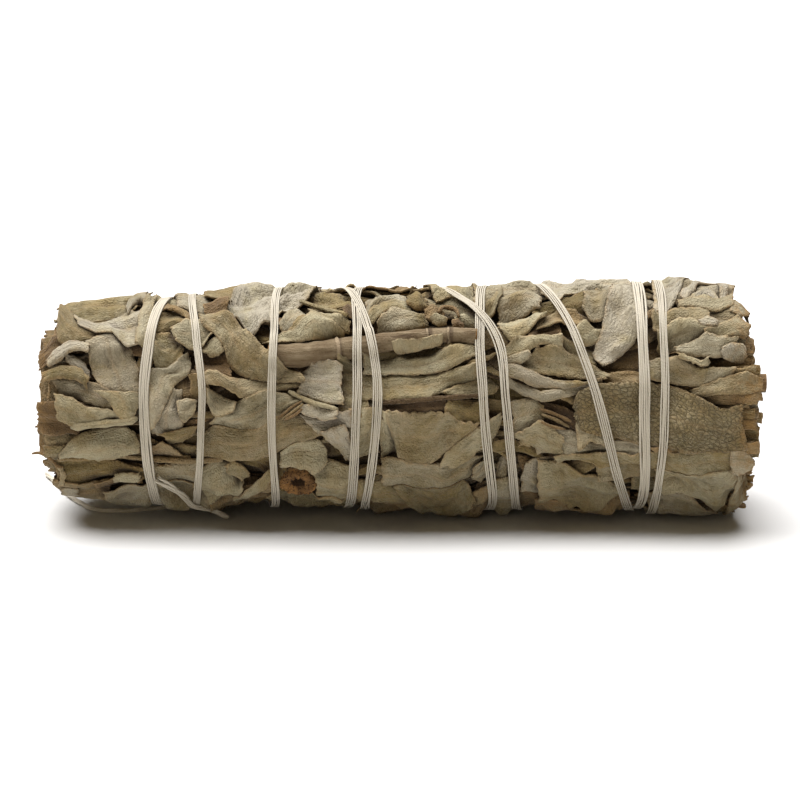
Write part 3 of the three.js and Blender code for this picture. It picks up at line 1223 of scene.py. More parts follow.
    def _relief(self, leaf: Leaf, blade: Blade, lift: tuple[float, ...]) -> Array:
        """Height over the membrane: camber and roll, lifted and curled edges, waves, folds and a tilt.

        Args:
            leaf: the leaf.
            blade: its grid.
            lift: lifts of its four edges.

        Returns:
            Grid of heights.
        """
        side, across = blade.side, blade.across
        relief = leaf.camber * (1 - side ** 2) * np.minimum(across / 4.0, 1.2)
        relief = relief + leaf.roll * 0.5 * across * np.sqrt(np.maximum(1 - side ** 2, 0.0))
        relief = relief * smoothstep(blade.tip, -1.5, 1.5)
        curl = self.rng.uniform((0.0, 0.05, 0.0, 0.0), (0.22, 0.38, 0.28, 0.28))
        for amount, more, far in zip(lift, curl, blade.margins):
            relief = relief + amount * np.exp(-(far / self.edge_curl) ** 2)
            relief = relief + more * np.exp(-(far / self.rim_curl) ** 2)
        wave, fold, crease = (Ripple(self.rng, *size) for size in ((6.0, 1.6), (5.0, 2.6), (2.0, 3.5)))
        where = (blade.run[:, None] + 0 * blade.v, blade.v * across)
        folds = 1.2 * (0.5 - np.abs(fold(*where))) + 0.85 * (0.5 - np.abs(crease(*where)))
        relief = relief + leaf.crumple * (0.7 * wave(*where) + folds) - 0.14 * blade.rib(leaf.rib)
        relief = relief + self.rng.uniform(-0.6, 0.6) * side * np.minimum(across / 5.0, 1.0)
        return relief - 0.08 * np.exp(-blade.rim / 0.25)

    def _looks(self, leaf: Leaf, blade: Blade) -> tuple[Array, dict[str, Array]]:
        """Map and marks of a leaf, with seeded differences from leaf to leaf.

        Args:
            leaf: the leaf.
            blade: its grid.

        Returns:
            The map, in millimetres from a seeded place, and the marks.
        """
        rng, like = self.rng, blade.across
        jump = rng.uniform(0, self.map_range, 2)
        lay = np.stack([blade.run[:, None] * np.ones_like(like) + jump[0],
                        (blade.v - 0.5) * like + jump[1]], -1)
        pale, brown = leaf.tint.value
        ash, blush = rng.uniform((-0.4, -0.3), (0.6, 0.6)).clip(0.0)
        ash = ash * (brown < 0.2) * (leaf.tint is not CREAM)
        ash = max(ash, 0.85 * (leaf.tint is SILVER)) * (leaf.veined < 0.5)
        # Marks: a dry margin along the rims that is also a painted highlight, and the leaf's painted shade
        marks = leaf.tint.marks(
            like, pale=pale + rng.uniform(-0.16, 0.16), brown=brown + rng.uniform(-0.06, 0.10), ash=ash,
            blush=blush * (brown > 0.45), veined=leaf.veined, rim=np.exp(-blade.rim / 0.24), deep=leaf.deep,
            rib=blade.rib(leaf.rib))
        return lay, marks


# Leaves seen from the front, outlined in picture points

TUCK_BY_RANK = {1: 0.9, 2: 0.55, 3: 0.28, 4: 0.05, 5: 0.0}
# Painted shade on the lowest-ranked leaves seen from the front, which show in the gaps between the others
LOWEST_RANK_SHADE = 0.35
LEFT_TOP = (
    Leaf(SAGE, "61,311 82,301 110,297 148,293", "75,321 97,316 118,314 130,314", 0.5, crumple=0.5),
    Leaf(GOLD, "61,312 75,321 89,330 107,339", "57,326 60,341 81,346 97,344", 0.7, crumple=0.5),
    Leaf(SILVER, "76,320 99,320 119,317 142,313",
         "80,330 97,336 112,336 127,349 146,343", 0.7, lift=(0, 0.3, 0, 0), rank=3),
    Leaf(BARK, "127,309 137,303 148,304", "128,320 138,318 148,316", 0.1, rank=1),
    Leaf(PALE, "126,312 131,303 139,297 147,299", "128,318 134,309 140,304 147,305", 0.2, 0.6, rank=4),
    Leaf(PALE, "135,345 138,325 143,308 150,300", "147,348 150,330 153,310 157,298", 0.4, rank=4),
    Leaf(SAGE, "158,296 175,293 192,295", "160,306 176,306 190,306", 0.4),
    Leaf(TAN, "163,305 178,307 190,315 198,326", "163,311 177,313 186,320 191,330", 0.1, 0.6, rank=4),
    Leaf(OLIVE, "162,312 178,313 188,322", "160,334 172,332 182,330", 0.2, rank=1),
    Leaf(PALE, "172,333 190,322 199,321 211,330",
         "177,342 191,349 202,347 211,336", 0.3, lift=(0.2, 0.7, 0.3, 0.2), rank=4),
    Leaf(SAGE, "155,336 170,335 179,345", "153,352 158,367 173,362 179,353", 0.5),
    Leaf(PALE, "187,353 167,366 151,368 150,385 150,428",
         "188,354 188,370 174,381 167,398 151,428", 0.5, rank=3),
    Leaf(RUST, "200,352 212,351 223,354", "202,366 212,367 224,368", 0.2, rank=1),
    Leaf(SAGE, "91,345 93,362 101,380 112,398 122,413",
         "112,336 122,336 129,352 134,368 138,414", 0.35),
    Leaf(SILVER, "46,358 55,350 68,344 80,343 90,348",
         "49,367 60,362 70,354 80,352 88,355", 0.2, 0.7, rank=4),
    Leaf(SILVER, "65,355 74,367 82,378", "73,353 82,362 88,375", 0.5, rank=3),
    Leaf(OLIVE, "43,372 62,366 80,369 88,378", "45,380 62,377 78,380 86,386", 0.2, 0.4, rank=3),
    Leaf(SAGE, "56,382 75,382 95,385 112,397", "60,390 78,396 97,404 109,405", 0.4),
    Leaf(RUST, "43,343 52,338 60,343", "42,357 52,352 60,350", 0.3, rank=1),
)
LEFT_LOW = (
    Leaf(PALE, "56,395 74,399 86,407 114,412 126,418",
         "61,418 71,423 92,424 109,422 124,421", 0.7, rank=3),
    Leaf(RUST, "45,408 56,406 68,414", "45,428 58,431 71,430", 0.3, rank=1),
    Leaf(PALE, "97,392 110,400 118,412 125,418", "137,392 138,400 137,407 131,418", 0.5, rank=3),
    Leaf(PALE, "61,451 71,440 91,434 122,429 133,434 138,444",
         "61,458 91,460 114,458 139,455", 0.8, rank=3),
    Leaf(OLIVE, "60,463 85,467 112,470 140,474", "63,480 85,481 112,479 140,479", 0.4),
    Leaf(TAN, "57,477 80,480 106,481", "60,491 82,492 108,491", 0.3),
    Leaf(GOLD, "58,463 61,470 59,479", "63,463 66,471 63,480", 0.1, 0.5, rank=4),
    Leaf(SILVER, "61,482 70,482 79,484", "62,487 71,489 79,489", 0.1, 0.5, rank=4),
    Leaf(PALE, "114,473 128,472 140,472", "114,479 128,479 140,478", 0.1, 0.3, rank=4),
    Leaf(TAN, "96,479 118,479 140,479", "98,485 120,486 140,485", 0.3, rank=3),
    Leaf(PALE, "105,488 122,486 140,486 149,489",
         "114,496 122,502 138,503 149,500", 0.4, lift=(0, 0.3, 0.2, 0), rank=3),
    Leaf(OLIVE, "70,488 88,490 109,492", "84,499 97,504 112,506", 0.4, rank=1),
    Leaf(SAGE, "153,432 154,410 160,398 168,392", "176,440 179,425 179,405 176,392", 0.5),
    Leaf(PALE, "176,400 186,399 197,401",
         "178,414 184,422 196,413", 0.3, lift=(0.2, 0.6, 0.2, 0.2), rank=4),
    Leaf(OLIVE, "162,436 178,433 196,432", "168,449 180,448 192,441", 0.4, rank=3),
    Leaf(TAN, "151,451 162,446 172,454 180,463", "152,465 164,466 175,466", 0.3, rank=3),
    Leaf(PALE, "153,474 175,474 196,472", "158,484 178,486 196,484", 0.4),
    Leaf(SAGE, "158,486 178,488 204,487", "163,502 182,505 207,504", 0.2, crumple=0.15),
)
MIDDLE_LEFT_TOP = (
    Leaf(SILVER, "222,311 230,298 241,289 272,287 302,285 320,288",
         "224,317 236,318 251,334 258,328 274,318 295,305 311,298 319,291",
         0.5, lift=(0, 0.2, 0, 0), rank=3, rough=0.2, soft=0.1, rib=0.0),
    Leaf(SAGE, "178,293 200,294 222,294", "182,303 202,305 222,305", 0.4),
    Leaf(RUST, "206,303 216,302 226,302", "208,313 216,314 226,314", 0.2, rank=3),
    Leaf(OLIVE, "208,291 222,287 241,288", "210,297 224,296 240,294", 0.3),
    Leaf(GOLD, "199,313 228,315 243,328 262,344 273,356 286,365 300,371 305,378",
         "199,319 203,329 213,335 222,345 227,359 237,371 249,377 277,380 303,382",
         0.9, lift=(0, 0.3, 0.2, 0), rank=5, veined=0.25),
    Leaf(PALE, "204,348 211,342 217,339",
         "209,353 217,352 222,349", 0.2, lift=(0.2, 0.4, 0, 0), rank=3),
    Leaf(GOLD, "205,374 216,373 231,379 250,378 275,379 299,382",
         "208,383 225,386 240,396 256,396 276,388 297,384", 0.6, rank=3),
    Leaf(SAGE, "206,388 214,391 225,398 236,402",
         "207,402 213,415 222,416 234,411", 0.2, lift=(0.1, 0.5, 0.2, 0.3), rank=4, soft=0.0, rough=0.05),
    Leaf(TAN, "193,378 203,374 206,388", "194,400 200,402 206,399", 0.3),
    Leaf(SAGE, "281,324 288,314 296,309 309,313", "283,332 293,330 302,323 310,318", 0.2, 0.4, rank=3),
    Leaf(SAGE, "290,332 301,322 313,318", "294,335 305,332 315,325", 0.2, 0.3, rank=3),
    Leaf(PALE, "262,340 281,332 294,331 311,317 322,319 344,330",
         "268,345 283,342 301,341 316,338 333,332 345,333", 0.6, rank=4),
    Leaf(PALE, "311,311 330,317 348,323", "314,316 330,324 347,327", 0.3, 0.2, rank=3),
    Leaf(OLIVE, "318,295 333,293 352,295", "317,304 334,307 350,306", 0.4),
    Leaf(BARK, "343,312 350,307 357,311", "344,318 350,321 357,317", 0.1, 0.8, rank=4),
    Leaf(SILVER, "303,371 311,364 334,361 340,366",
         "300,390 311,397 328,402 341,402", 0.35, lift=(0, 0.1, 0, 0.5), rank=3, soft=0.1),
    Leaf(SAGE, "341,360 350,359 360,362", "342,372 350,373 360,372", 0.3),
    Leaf(SAGE, "342,374 352,373 364,374", "342,410 352,414 364,412", 0.4),
)
MIDDLE_LEFT_LOW = (
    Leaf(SAGE, "213,427 217,418 236,405 256,394 270,390 290,397 301,401",
         "216,430 236,434 256,433 270,423 287,413 300,404", 0.5, rank=3),
    Leaf(GOLD, "205,440 214,430 234,435 259,432 275,420 295,415 308,421 322,434",
         "203,461 218,462 246,462 269,459 282,451 295,445 308,442 322,437", 0.6, rank=3),
    Leaf(SILVER, "302,404 315,406 329,409 338,410",
         "300,412 310,417 322,421 336,417", 0.3, lift=(0, 0.3, 0.2, 0), rank=4),
    Leaf(SILVER, "302,417 318,421 338,413 350,412", "318,434 330,432 342,425 352,424", 0.5, rank=3),
    Leaf(SILVER, "322,434 332,450 347,467", "345,425 349,445 353,466", 0.5, rank=3),
    Leaf(PALE, "352,412 364,410 374,411", "352,466 362,463 374,458", 0.4),
    Leaf(CREAM, "280,455 295,446 308,447 318,448 327,460",
         "280,468 295,469 314,472 327,466", 0.3, lift=(0, 0.5, 0.2, 0.2), rank=4, teeth=0.2),
    Leaf(PALE, "195,487 200,477 213,470 228,472 241,482",
         "198,492 209,500 218,500 235,492 241,485", 0.5, rank=3),
    Leaf(SAGE, "225,469 234,466 244,472 249,478", "229,475 235,479 242,482 248,480", 0.4, rank=4),
    Leaf(PALE, "234,497 245,487 258,480 273,472", "236,501 248,493 260,486 274,478", 0.4, rank=3),
    Leaf(TAN, "237,489 255,487 273,485", "236,499 255,498 273,496", 0.3),
    Leaf(TAN, "213,500 240,500 269,500", "214,508 240,509 268,508", 0.3),
    Leaf(PALE, "313,472 330,469 352,473", "318,480 332,482 351,482", 0.4, rank=3),
    Leaf(SAGE, "320,484 336,484 352,484", "322,497 338,497 352,496", 0.4),
    Leaf(SAGE, "270,497 300,497 330,496 345,500", "276,508 300,510 325,511 345,510", 0.4),
    Leaf(OLIVE, "203,463 230,465 262,463 280,468", "206,472 228,470 262,476 282,484", 0.2, rank=1),
)
MIDDLE_TOP = (
    Leaf(PALE, "366,303 386,292 402,291 409,297", "367,314 380,304 393,300 406,303", 0.5, rank=3),
    Leaf(SAGE, "364,321 380,307 393,302 405,304 413,312",
         "367,324 378,317 390,312 402,312 412,314", 0.5, rank=3),
    Leaf(SAGE, "376,322 393,312 411,313 425,316", "379,328 398,329 416,327 428,321", 0.2, 0.6, rank=4),
    Leaf(OLIVE, "408,300 417,295 426,300", "409,306 418,309 426,305", 0.1, 0.7, rank=3),
    Leaf(TAN, "426,310 434,305 443,309", "427,315 435,318 443,314", 0.1, 0.7, rank=3),
    Leaf(SAGE, "430,319 438,314 448,318", "431,322 439,324 448,322", 0.1, 0.7, rank=4),
    Leaf(RUST, "452,316 458,315 464,318", "452,322 458,323 464,322", 0.2, rank=4),
    Leaf(PALE, "456,310 465,309 474,313", "457,315 466,316 474,317", 0.1, 0.7, rank=3),
    Leaf(SAGE, "428,291 445,286 466,285 472,291", "438,297 455,295 472,300", 0.4),
    Leaf(SAGE, "432,297 450,296 474,300", "434,304 452,305 474,308", 0.3, rank=1),
    Leaf(PALE, "392,344 415,340 442,336", "396,349 418,346 442,341", 0.3, rank=4),
    Leaf(CREAM, "363,353 411,350 442,345 476,342",
         "364,372 405,372 436,369 457,362 476,353", 0.6, rank=4),
    Leaf(SAGE, "363,374 410,373 434,372 457,366 476,363",
         "364,398 400,400 426,398 438,391 457,387 476,377", 0.5, rank=3),
    Leaf(SAGE, "446,391 462,383 480,377 490,376 496,384",
         "449,395 466,396 484,395 494,391", 0.4, rank=3),
)
MIDDLE_LOW = (
    Leaf(BARK, "383,405 410,403 440,402", "386,413 412,415 447,415", 0.1, rank=1),
    Leaf(OLIVE, "449,405 468,403 485,405", "450,418 466,427 484,424", 0.4),
    Leaf(GOLD, "386,414 407,416 430,416 449,416 459,425 476,428",
         "396,450 398,457 410,462 428,464 441,458 456,446 475,430", 0.35, rank=3, teeth=0.35),
    Leaf(PALE, "383,414 383,440 385,461", "390,416 396,440 397,455", 0.3),
    Leaf(PALE, "439,465 449,454 463,441 479,429 501,415",
         "454,468 470,461 482,452 495,441 503,419", 0.5, rank=4),
    Leaf(SAGE, "384,464 396,461 410,463 430,466 449,468 466,463 481,465",
         "384,484 407,487 431,488 449,491 468,488 480,470", 0.5, rank=3),
    Leaf(PALE, "473,474 482,465 489,466", "472,492 480,492 489,486", 0.3, rank=4),
    Leaf(SAGE, "396,488 431,490 462,491 472,499", "410,500 425,509 440,515 470,503", 0.5, rank=3),
    Leaf(TAN, "372,500 392,501 420,503", "373,511 396,512 421,512", 0.3),
    Leaf(SAGE, "360,484 372,486 384,486 398,490", "362,499 378,499 396,500 412,503", 0.4),
    Leaf(TAN, "442,514 462,505 487,492", "446,517 468,514 488,505", 0.3),
    Leaf(SAGE, "496,486 505,484 515,487", "494,514 504,517 515,513", 0.4),
)
MIDDLE_RIGHT = (
    Leaf(SAGE, "474,290 500,285 520,284 546,288", "476,303 500,303 522,300 546,300", 0.5, rank=3),
    Leaf(PALE, "486,303 493,297 502,292", "485,313 494,309 502,300", 0.4, rank=4),
    Leaf(SAGE, "499,302 512,298 526,295 540,302", "500,312 514,309 528,308 539,307", 0.2, 0.3, rank=3),
    Leaf(PALE, "498,321 518,316 546,314",
         "503,331 511,337 530,327 545,318", 0.5, lift=(0, 0.3, 0, 0), rank=3),
    Leaf(RUST, "533,333 541,322 556,322", "536,337 546,336 557,333", 0.3),
    Leaf(PALE, "503,346 519,336 545,335 561,337",
         "504,350 521,350 532,345 546,341 561,344", 0.4, rank=3),
    Leaf(PALE, "504,353 516,350 528,349 532,354", "505,357 514,359 522,359 530,356", 0.3, rank=4),
    Leaf(GOLD, "524,357 539,347 560,345 578,352 608,374",
         "526,362 541,369 562,372 588,375 606,376", 0.5, rank=3),
    Leaf(SAGE, "505,361 518,361 540,372 560,379 583,380 600,378",
         "507,375 520,378 537,386 556,388 578,386 598,381", 0.5, rank=4),
    Leaf(PALE, "508,377 522,382 542,392 572,384 600,380",
         "511,384 526,394 545,401 566,396 598,386", 0.4, rank=3),
    Leaf(SAGE, "516,404 526,402 537,403 541,412", "517,434 526,429 540,423 542,416", 0.3),
    Leaf(PALE, "517,438 528,429 540,422 552,430 562,438",
         "522,446 536,450 550,453 561,454", 0.3, rank=3, rough=0.2),
    Leaf(BARK, "540,407 556,411 574,421", "544,420 556,428 572,432", 0.2, rank=1),
    Leaf(SAGE, "523,480 527,467 537,461 561,466",
         "524,492 538,497 561,500", 0.4, lift=(0, 0, 0.4, 0), rank=3),
    Leaf(PALE, "540,430 560,433 578,440 594,450 622,447 642,447",
         "540,453 570,455 609,456 642,454", 0.5),
    Leaf(SAGE, "540,462 551,465 583,476 599,482 622,498",
         "540,500 554,499 566,503 586,507 621,500", 0.6, rank=3),
    Leaf(SAGE, "598,470 618,469 641,470", "600,481 620,486 642,480", 0.4, rank=3),
    Leaf(TAN, "540,502 560,503 580,508 625,502", "540,512 572,515 600,513 627,508", 0.3),
)
RIGHT_TOP = (
    Leaf(SILVER, "540,286 564,280 599,278 620,283 637,285",
         "544,301 559,304 586,293 601,291 634,291", 0.6, rank=3),
    Leaf(OLIVE, "540,305 560,306 584,300", "540,318 560,316 584,316", 0.2, rank=1),
    Leaf(SAGE, "588,294 598,291 610,292", "584,312 590,319 602,318 608,303", 0.4, rank=3),
    Leaf(SILVER, "613,295 607,308 600,330 594,348 597,357 604,364",
         "637,295 639,315 639,333 634,341 620,354 606,364",
         0.45, lift=(0.4, 0.3, 0, 0.5), rank=5, crumple=0.10, rib=0.0),
    Leaf(TAN, "540,320 556,313 576,314 587,318", "541,324 560,322 584,322", 0.3),
    Leaf(PALE, "572,331 585,324 600,327", "576,337 588,338 599,334", 0.2, 0.3, rank=3),
    Leaf(OLIVE, "540,326 556,324 570,326", "540,333 556,333 570,332", 0.2, rank=1),
    Leaf(SAGE, "566,338 580,341 592,345", "572,350 582,354 593,356", 0.3),
    Leaf(SILVER, "654,288 668,280 688,281", "655,318 666,316 676,303 684,290", 0.5, rank=3),
    Leaf(SAGE, "686,282 704,279 722,281", "688,289 704,287 722,287", 0.3),
    Leaf(SAGE, "677,302 689,285 712,280 729,289", "681,313 700,314 716,313 732,306", 0.3, rank=2),
    Leaf(SILVER, "679,306 686,293 699,284 715,283 725,290 727,301",
         "686,310 692,299 702,291 713,290 719,295 720,302",
         0.1, 0.3, rank=4, crumple=0.1, soft=1.0, rib=0.0),
    Leaf(SILVER, "689,308 695,298 706,293 716,297 718,305",
         "694,309 700,302 707,298 712,301 713,306", 0.1, 0.3, rank=4, crumple=0.1, soft=1.0, rib=0.0),
    Leaf(PALE, "698,305 704,302 711,304", "699,309 705,308 711,308", 0.1, 0.4, rank=4),
    Leaf(PALE, "676,311 688,308 712,307 733,303", "677,316 696,314 714,317 734,314", 0.1, 0.5, rank=4),
    Leaf(SAGE, "731,303 740,303 748,310", "731,317 740,322 747,321", 0.3, rank=3),
    Leaf(SAGE, "655,322 680,319 704,317", "657,329 682,327 706,324", 0.3),
    Leaf(SAGE, "688,313 712,315 735,317", "690,326 712,328 735,328", 0.3, rank=1),
    Leaf(SILVER, "698,327 707,323 716,326", "700,331 708,332 716,330", 0.1, 0.6, rank=4),
    Leaf(PALE, "660,334 676,328 690,327 707,334", "662,345 676,346 690,342 705,337", 0.4, rank=3),
    Leaf(SAGE, "706,335 722,329 738,323 748,329", "708,339 726,338 747,337", 0.3, rank=3),
    Leaf(PALE, "675,348 692,342 707,337 722,339 737,341",
         "677,353 694,355 717,357 736,350", 0.4, rank=4),
    Leaf(SILVER, "719,349 731,345 743,344 748,351", "721,357 734,360 746,361", 0.1, 0.7, rank=5),
    Leaf(PALE, "676,354 690,356 700,362 711,358",
         "677,359 690,363 700,367 711,364", 0.3, rank=4, rough=0.2),
    Leaf(SAGE, "645,361 683,360 696,366 733,369", "645,377 674,381 698,385 731,376", 0.6, rank=3),
    Leaf(TAN, "606,373 622,371 645,374", "608,380 625,380 645,381", 0.3),
    Leaf(GOLD, "693,391 720,380 746,375 761,381", "696,395 722,393 744,392 761,389", 0.3, rank=3),
    Leaf(TAN, "700,397 725,393 758,389", "706,402 728,401 758,397", 0.3),
)
RIGHT_LOW = (
    Leaf(GOLD, "573,408 578,392 596,384 652,382 680,388 698,396 722,409 742,404",
         "577,421 581,431 607,439 639,444 660,446 690,452 716,450 745,449",
         0.25, rank=4, veined=1.0, crumple=0.08, cell=0.4),
    Leaf(PALE, "577,424 590,428 606,438", "580,447 590,441 604,446", 0.3, rank=3),
    Leaf(SAGE, "557,457 604,455 664,452 699,452 745,448",
         "558,462 612,467 664,470 707,471 732,470 747,459", 0.5, rank=3),
    Leaf(PALE, "730,449 742,448 753,455", "732,470 742,470 752,465", 0.1, 0.3, rank=4),
    Leaf(PALE, "658,471 690,472 737,470", "656,494 678,493 700,499 716,505 734,487", 0.6, rank=3),
    Leaf(SAGE, "636,472 648,474 658,474", "636,494 648,496 658,494", 0.4),
    Leaf(PALE, "737,472 744,478 746,486", "724,510 736,500 744,492", 0.2, 0.2, rank=3),
    Leaf(SAGE, "650,498 672,497 692,501 714,507", "654,510 676,515 694,516 716,512", 0.3),
)
SEEN_LEAVES = (LEFT_TOP + LEFT_LOW + MIDDLE_LEFT_TOP + MIDDLE_LEFT_LOW + MIDDLE_TOP
               + MIDDLE_LOW + MIDDLE_RIGHT + RIGHT_TOP + RIGHT_LOW)


@dataclass(frozen=True)
class Twig:
    """A thin stalk or rib lying on the leaves, along picture points."""

    tint: Tint
    path: str
    radius: float
    rank: int = 4


TWIGS = (
    Twig(PALE, "71,426 90,424 112,422 136,419", 0.55),
    Twig(TAN, "58,458 76,461 109,464 139,468 190,467", 0.34),
    Twig(TAN, "150,466 191,468 222,465", 0.42),
    Twig(SAGE, "300,301 324,308 347,320", 0.32),
    Twig(PALE, "288,390 308,401 338,409", 0.33),
    Twig(RUST, "278,420 290,409 302,401", 0.20),
    Twig(TAN, "281,421 293,412 303,404", 0.20),
    Twig(RUST, "284,421 295,415 302,409", 0.20),
    Twig(RUST, "438,312 445,305 455,306 459,313", 0.30),
    Twig(BARK, "382,403 420,400 481,395", 0.33),
    Twig(RUST, "540,410 556,416 572,424", 0.24),
    Twig(TAN, "542,416 556,422 570,430", 0.24),
    Twig(RUST, "541,422 554,428 566,431", 0.22),
    Twig(RUST, "31,463 40,460 51,461 62,465", 0.22),
)


# Outer leaves

class Side(Enum):
    """The end of the bunch from which a leaf runs."""

    LEFT = "left"
    RIGHT = "right"


class Column(Enum):
    """Columns of the outer leaves: angle of the middle, and the x of the tips that meet there."""

    front = (0.0, 17.2, 17.8)
    stem_side = (40.0, -18.6, 11.6)
    top_front = (80.0, -2.3, -1.7)
    top_back = (120.0, 7.7, 8.3)
    back_upper = (160.0, -10.3, -9.7)
    back_middle = (200.0, 4.7, 5.3)
    back_lower = (240.0, -6.3, -5.7)
    lower_front = (320.0, -16.6, -10.4)
    underside = (276.0, -3.2, -2.7)

    def leaf(self, side: Side) -> str:
        """Name of the column's outer leaf on one side."""
        return f"{self.name}_{side.value}"

    @staticmethod
    def home(x: float, turn: float) -> str:
        """Name of the outer leaf that holds a place, by nearest column and side of its tips.

        Args:
            x: place along the bunch.
            turn: place round it.

        Returns:
            The name.
        """
        angle = math.degrees(turn / UNROLL) % 360.0
        best = min(Column, key=lambda c: abs((angle - c.value[0] + 180.0) % 360.0 - 180.0))
        return best.leaf(Side.LEFT if x < 0.5 * (best.value[1] + best.value[2]) else Side.RIGHT)


@dataclass
class Wrapping:
    """All the outer leaves: main leaves, broken pieces all round, and those seen from the front."""

    form: Form
    view: Viewpoint
    start_radius: float = 11.7
    main_ends: Span = (-45.6, 44.6)
    main_half: float = 25.0
    main_points: int = 9
    broken_ends: Span = (-46.4, 45.4)
    broken_length: Span = (7.0, 30.0)
    frayed_end: float = 46.3
    frayed_length: Span = (7.0, 15.0)
    stalk_radius: float = 15.0
    stalk_sides: int = 10
    map_range: float = 400.0
    rng: np.random.Generator = field(default_factory=Seed.WRAPPING.draws)
    laid: list[tuple[str, Laid]] = field(default_factory=list)
    bars: list[tuple[str, Twig, Array, Array]] = field(default_factory=list)

    def __post_init__(self) -> None:
        """Prepare an empty surface."""
        self.surface = Surface(self.start_radius)
        self.drape = Drape(self.form, self.view, self.surface)

    def build(self, stem: SurfaceStem, stub: CutStub) -> None:
        """Lay everything, from the main leaves outwards.

        Args:
            stem: laid before the leaves that are seen from the front.
            stub: laid after it.
        """
        self.main_leaves()
        self.frayed(80)
        self.broken(110, (-75.0, 105.0), (OLIVE, OLIVE, SAGE, TAN, RUST), 1.6, 0.3)
        self.broken(90, (95.0, 300.0), (OLIVE, SAGE, SAGE, TAN), 2.6, 0.2)
        self.frayed(30)
        self.broken(150, (100.0, 292.0), (SAGE, SAGE, PALE, PALE, SILVER, TAN, OLIVE), 3.6)
        stem.settle(self)
        stub.settle(self)
        for rank, tuck in TUCK_BY_RANK.items():
            # Painted shade only on the lowest rank, whose leaves show in the gaps between the others
            deep = LOWEST_RANK_SHADE if rank == min(TUCK_BY_RANK) else 0.0
            for leaf in SEEN_LEAVES:
                if leaf.rank == rank:
                    self.put(replace(leaf, tuck=tuck, deep=deep))
            for twig in TWIGS:
                if twig.rank == rank:
                    self.bar(twig)

    def put(self, leaf: Leaf, home: str | None = None) -> None:
        """Lay a leaf and note which outer leaf it belongs with.

        Args:
            leaf: the leaf.
            home: name of the outer leaf; found from the leaf's middle if not given.
        """
        laid = self.drape.lay(leaf)
        middle = (laid.x.shape[0] // 2, laid.x.shape[1] // 2)
        self.laid.append((home or Column.home(laid.x[middle], laid.turn[middle]), laid))

    def main_leaves(self) -> None:
        """Lay one long leaf for each solid of the outer layer, edge over edge; it narrows to its tip."""
        start, end = self.main_ends
        for column in Column:
            angle, left_tip, right_tip = column.value
            for side, ends in ((Side.LEFT, (start, left_tip)), (Side.RIGHT, (right_tip, end))):
                x = np.linspace(*ends, self.main_points)
                share = np.linspace(0, 1, self.main_points)
                share = share if side is Side.LEFT else share[::-1]
                half = self.main_half * (1.0 - 0.55 * smoothstep(share, 0.72, 1.0))
                low, high = (np.stack([x, np.radians(angle + k * half) * UNROLL], 1) for k in (-1, 1))
                tint = (OLIVE, TAN, OLIVE)[int(self.rng.integers(3))]
                # These lie under all the others and get painted shade
                self.put(Leaf(tint, high, low, 0.15, crumple=0.2, cell=0.6, deep=0.5), column.leaf(side))

    def broken(self, count: int, angles: Span, tints: tuple[Tint, ...], widest: float,
               deep: float = 0.0) -> None:
        """Lay broken pieces of leaf at seeded places between two angles.

        Each is a strip along a gently bent line; its half width follows a power of u(1-u), so that
        small powers give blunt torn strips and larger ones pointed leaves.

        Args:
            count: number of pieces.
            angles: lowest and highest angle of their middles.
            tints: shades to choose from.
            widest: largest half width.
            deep: painted shade for pieces that later ones cover; these hidden ones get a coarser grid.
        """
        rng = self.rng
        u = np.linspace(0.0, 1.0, 7)
        start, end = self.broken_ends
        for _ in range(count):
            length = rng.uniform(*self.broken_length)
            half = min(rng.uniform(0.15 * widest + 0.3, widest), 0.34 * length)
            middle = np.array([rng.uniform(-46.0, 44.5), np.radians(rng.uniform(*angles)) * UNROLL])
            heading = np.radians(rng.normal(0.0, 20.0) + (rng.uniform(-60, 60) if length < 12 else 0.0))
            ahead = np.array([math.cos(heading), math.sin(heading)])
            aside = np.array([-ahead[1], ahead[0]])
            bend = rng.uniform(-0.09, 0.09) * length * np.sin(np.pi * u)
            spine = middle + np.outer((u - 0.5) * length, ahead) + np.outer(bend, aside)
            spine[:, 0] = np.clip(spine[:, 0], start + rng.uniform(0, 1.5), end - rng.uniform(0, 1.5))
            shape = np.maximum((4 * u * (1 - u)) ** rng.uniform(0.12, 0.7), 0.06) * half
            tint = tints[int(rng.integers(len(tints)))]
            lift = tuple(rng.uniform(0, 0.5, 4) * (rng.random(4) < 0.35))
            roll = rng.uniform(0.2, 0.5) if half < 1.6 and rng.random() < 0.5 else 0.0
            self.put(Leaf(tint, spine + np.outer(shape, aside), spine - np.outer(shape, aside),
                          rng.uniform(0.1, 0.5), roll, lift, veined=rng.choice([0.1, 0.1, 0.3, 0.7]),
                          deep=deep, cell=0.5 if deep > 0 else 0.34))

    def frayed(self, count: int) -> None:
        """Lay narrow torn strips all round at each end; they stick out past the leaves by uneven lengths.

        Args:
            count: number at each end.
        """
        rng = self.rng
        tints = (TAN, RUST, GOLD, SAGE, GOLD, OLIVE)
        for k in range(2 * count):
            angle = rng.uniform(0.0, 2.0 * math.pi)
            up = math.sin(angle)
            if k % 2:
                side, lean = -1, 0.9
                slope = 1.1 * smoothstep(up, 0.3, 0.9) + 1.8 * smoothstep(-up, 0.4, 0.8)
            else:
                side, lean = 1, 1.5
                slope = 1.4 * smoothstep(up, 0.6, 1.0)
            tip = side * (self.frayed_end + lean * math.cos(angle) - slope - rng.uniform(0.0, 1.9))
            x = np.linspace(tip, tip - side * rng.uniform(*self.frayed_length), 6)
            turn = angle * UNROLL + np.linspace(0.0, rng.uniform(-1.6, 1.6), 6)
            half = rng.uniform(0.45, 1.6) * np.linspace(1.0, 0.3, 6)
            high, low = (np.stack([x, turn + d * half], 1) for d in (1, -1))
            self.put(Leaf(tints[int(rng.integers(6))], high, low, rng.uniform(0.1, 0.5), rough=0.09,
                          crumple=0.24, cell=0.3, lift=(0, 0, rng.uniform(-0.2, 0.7), 0), rib=0.0, soft=0.0))

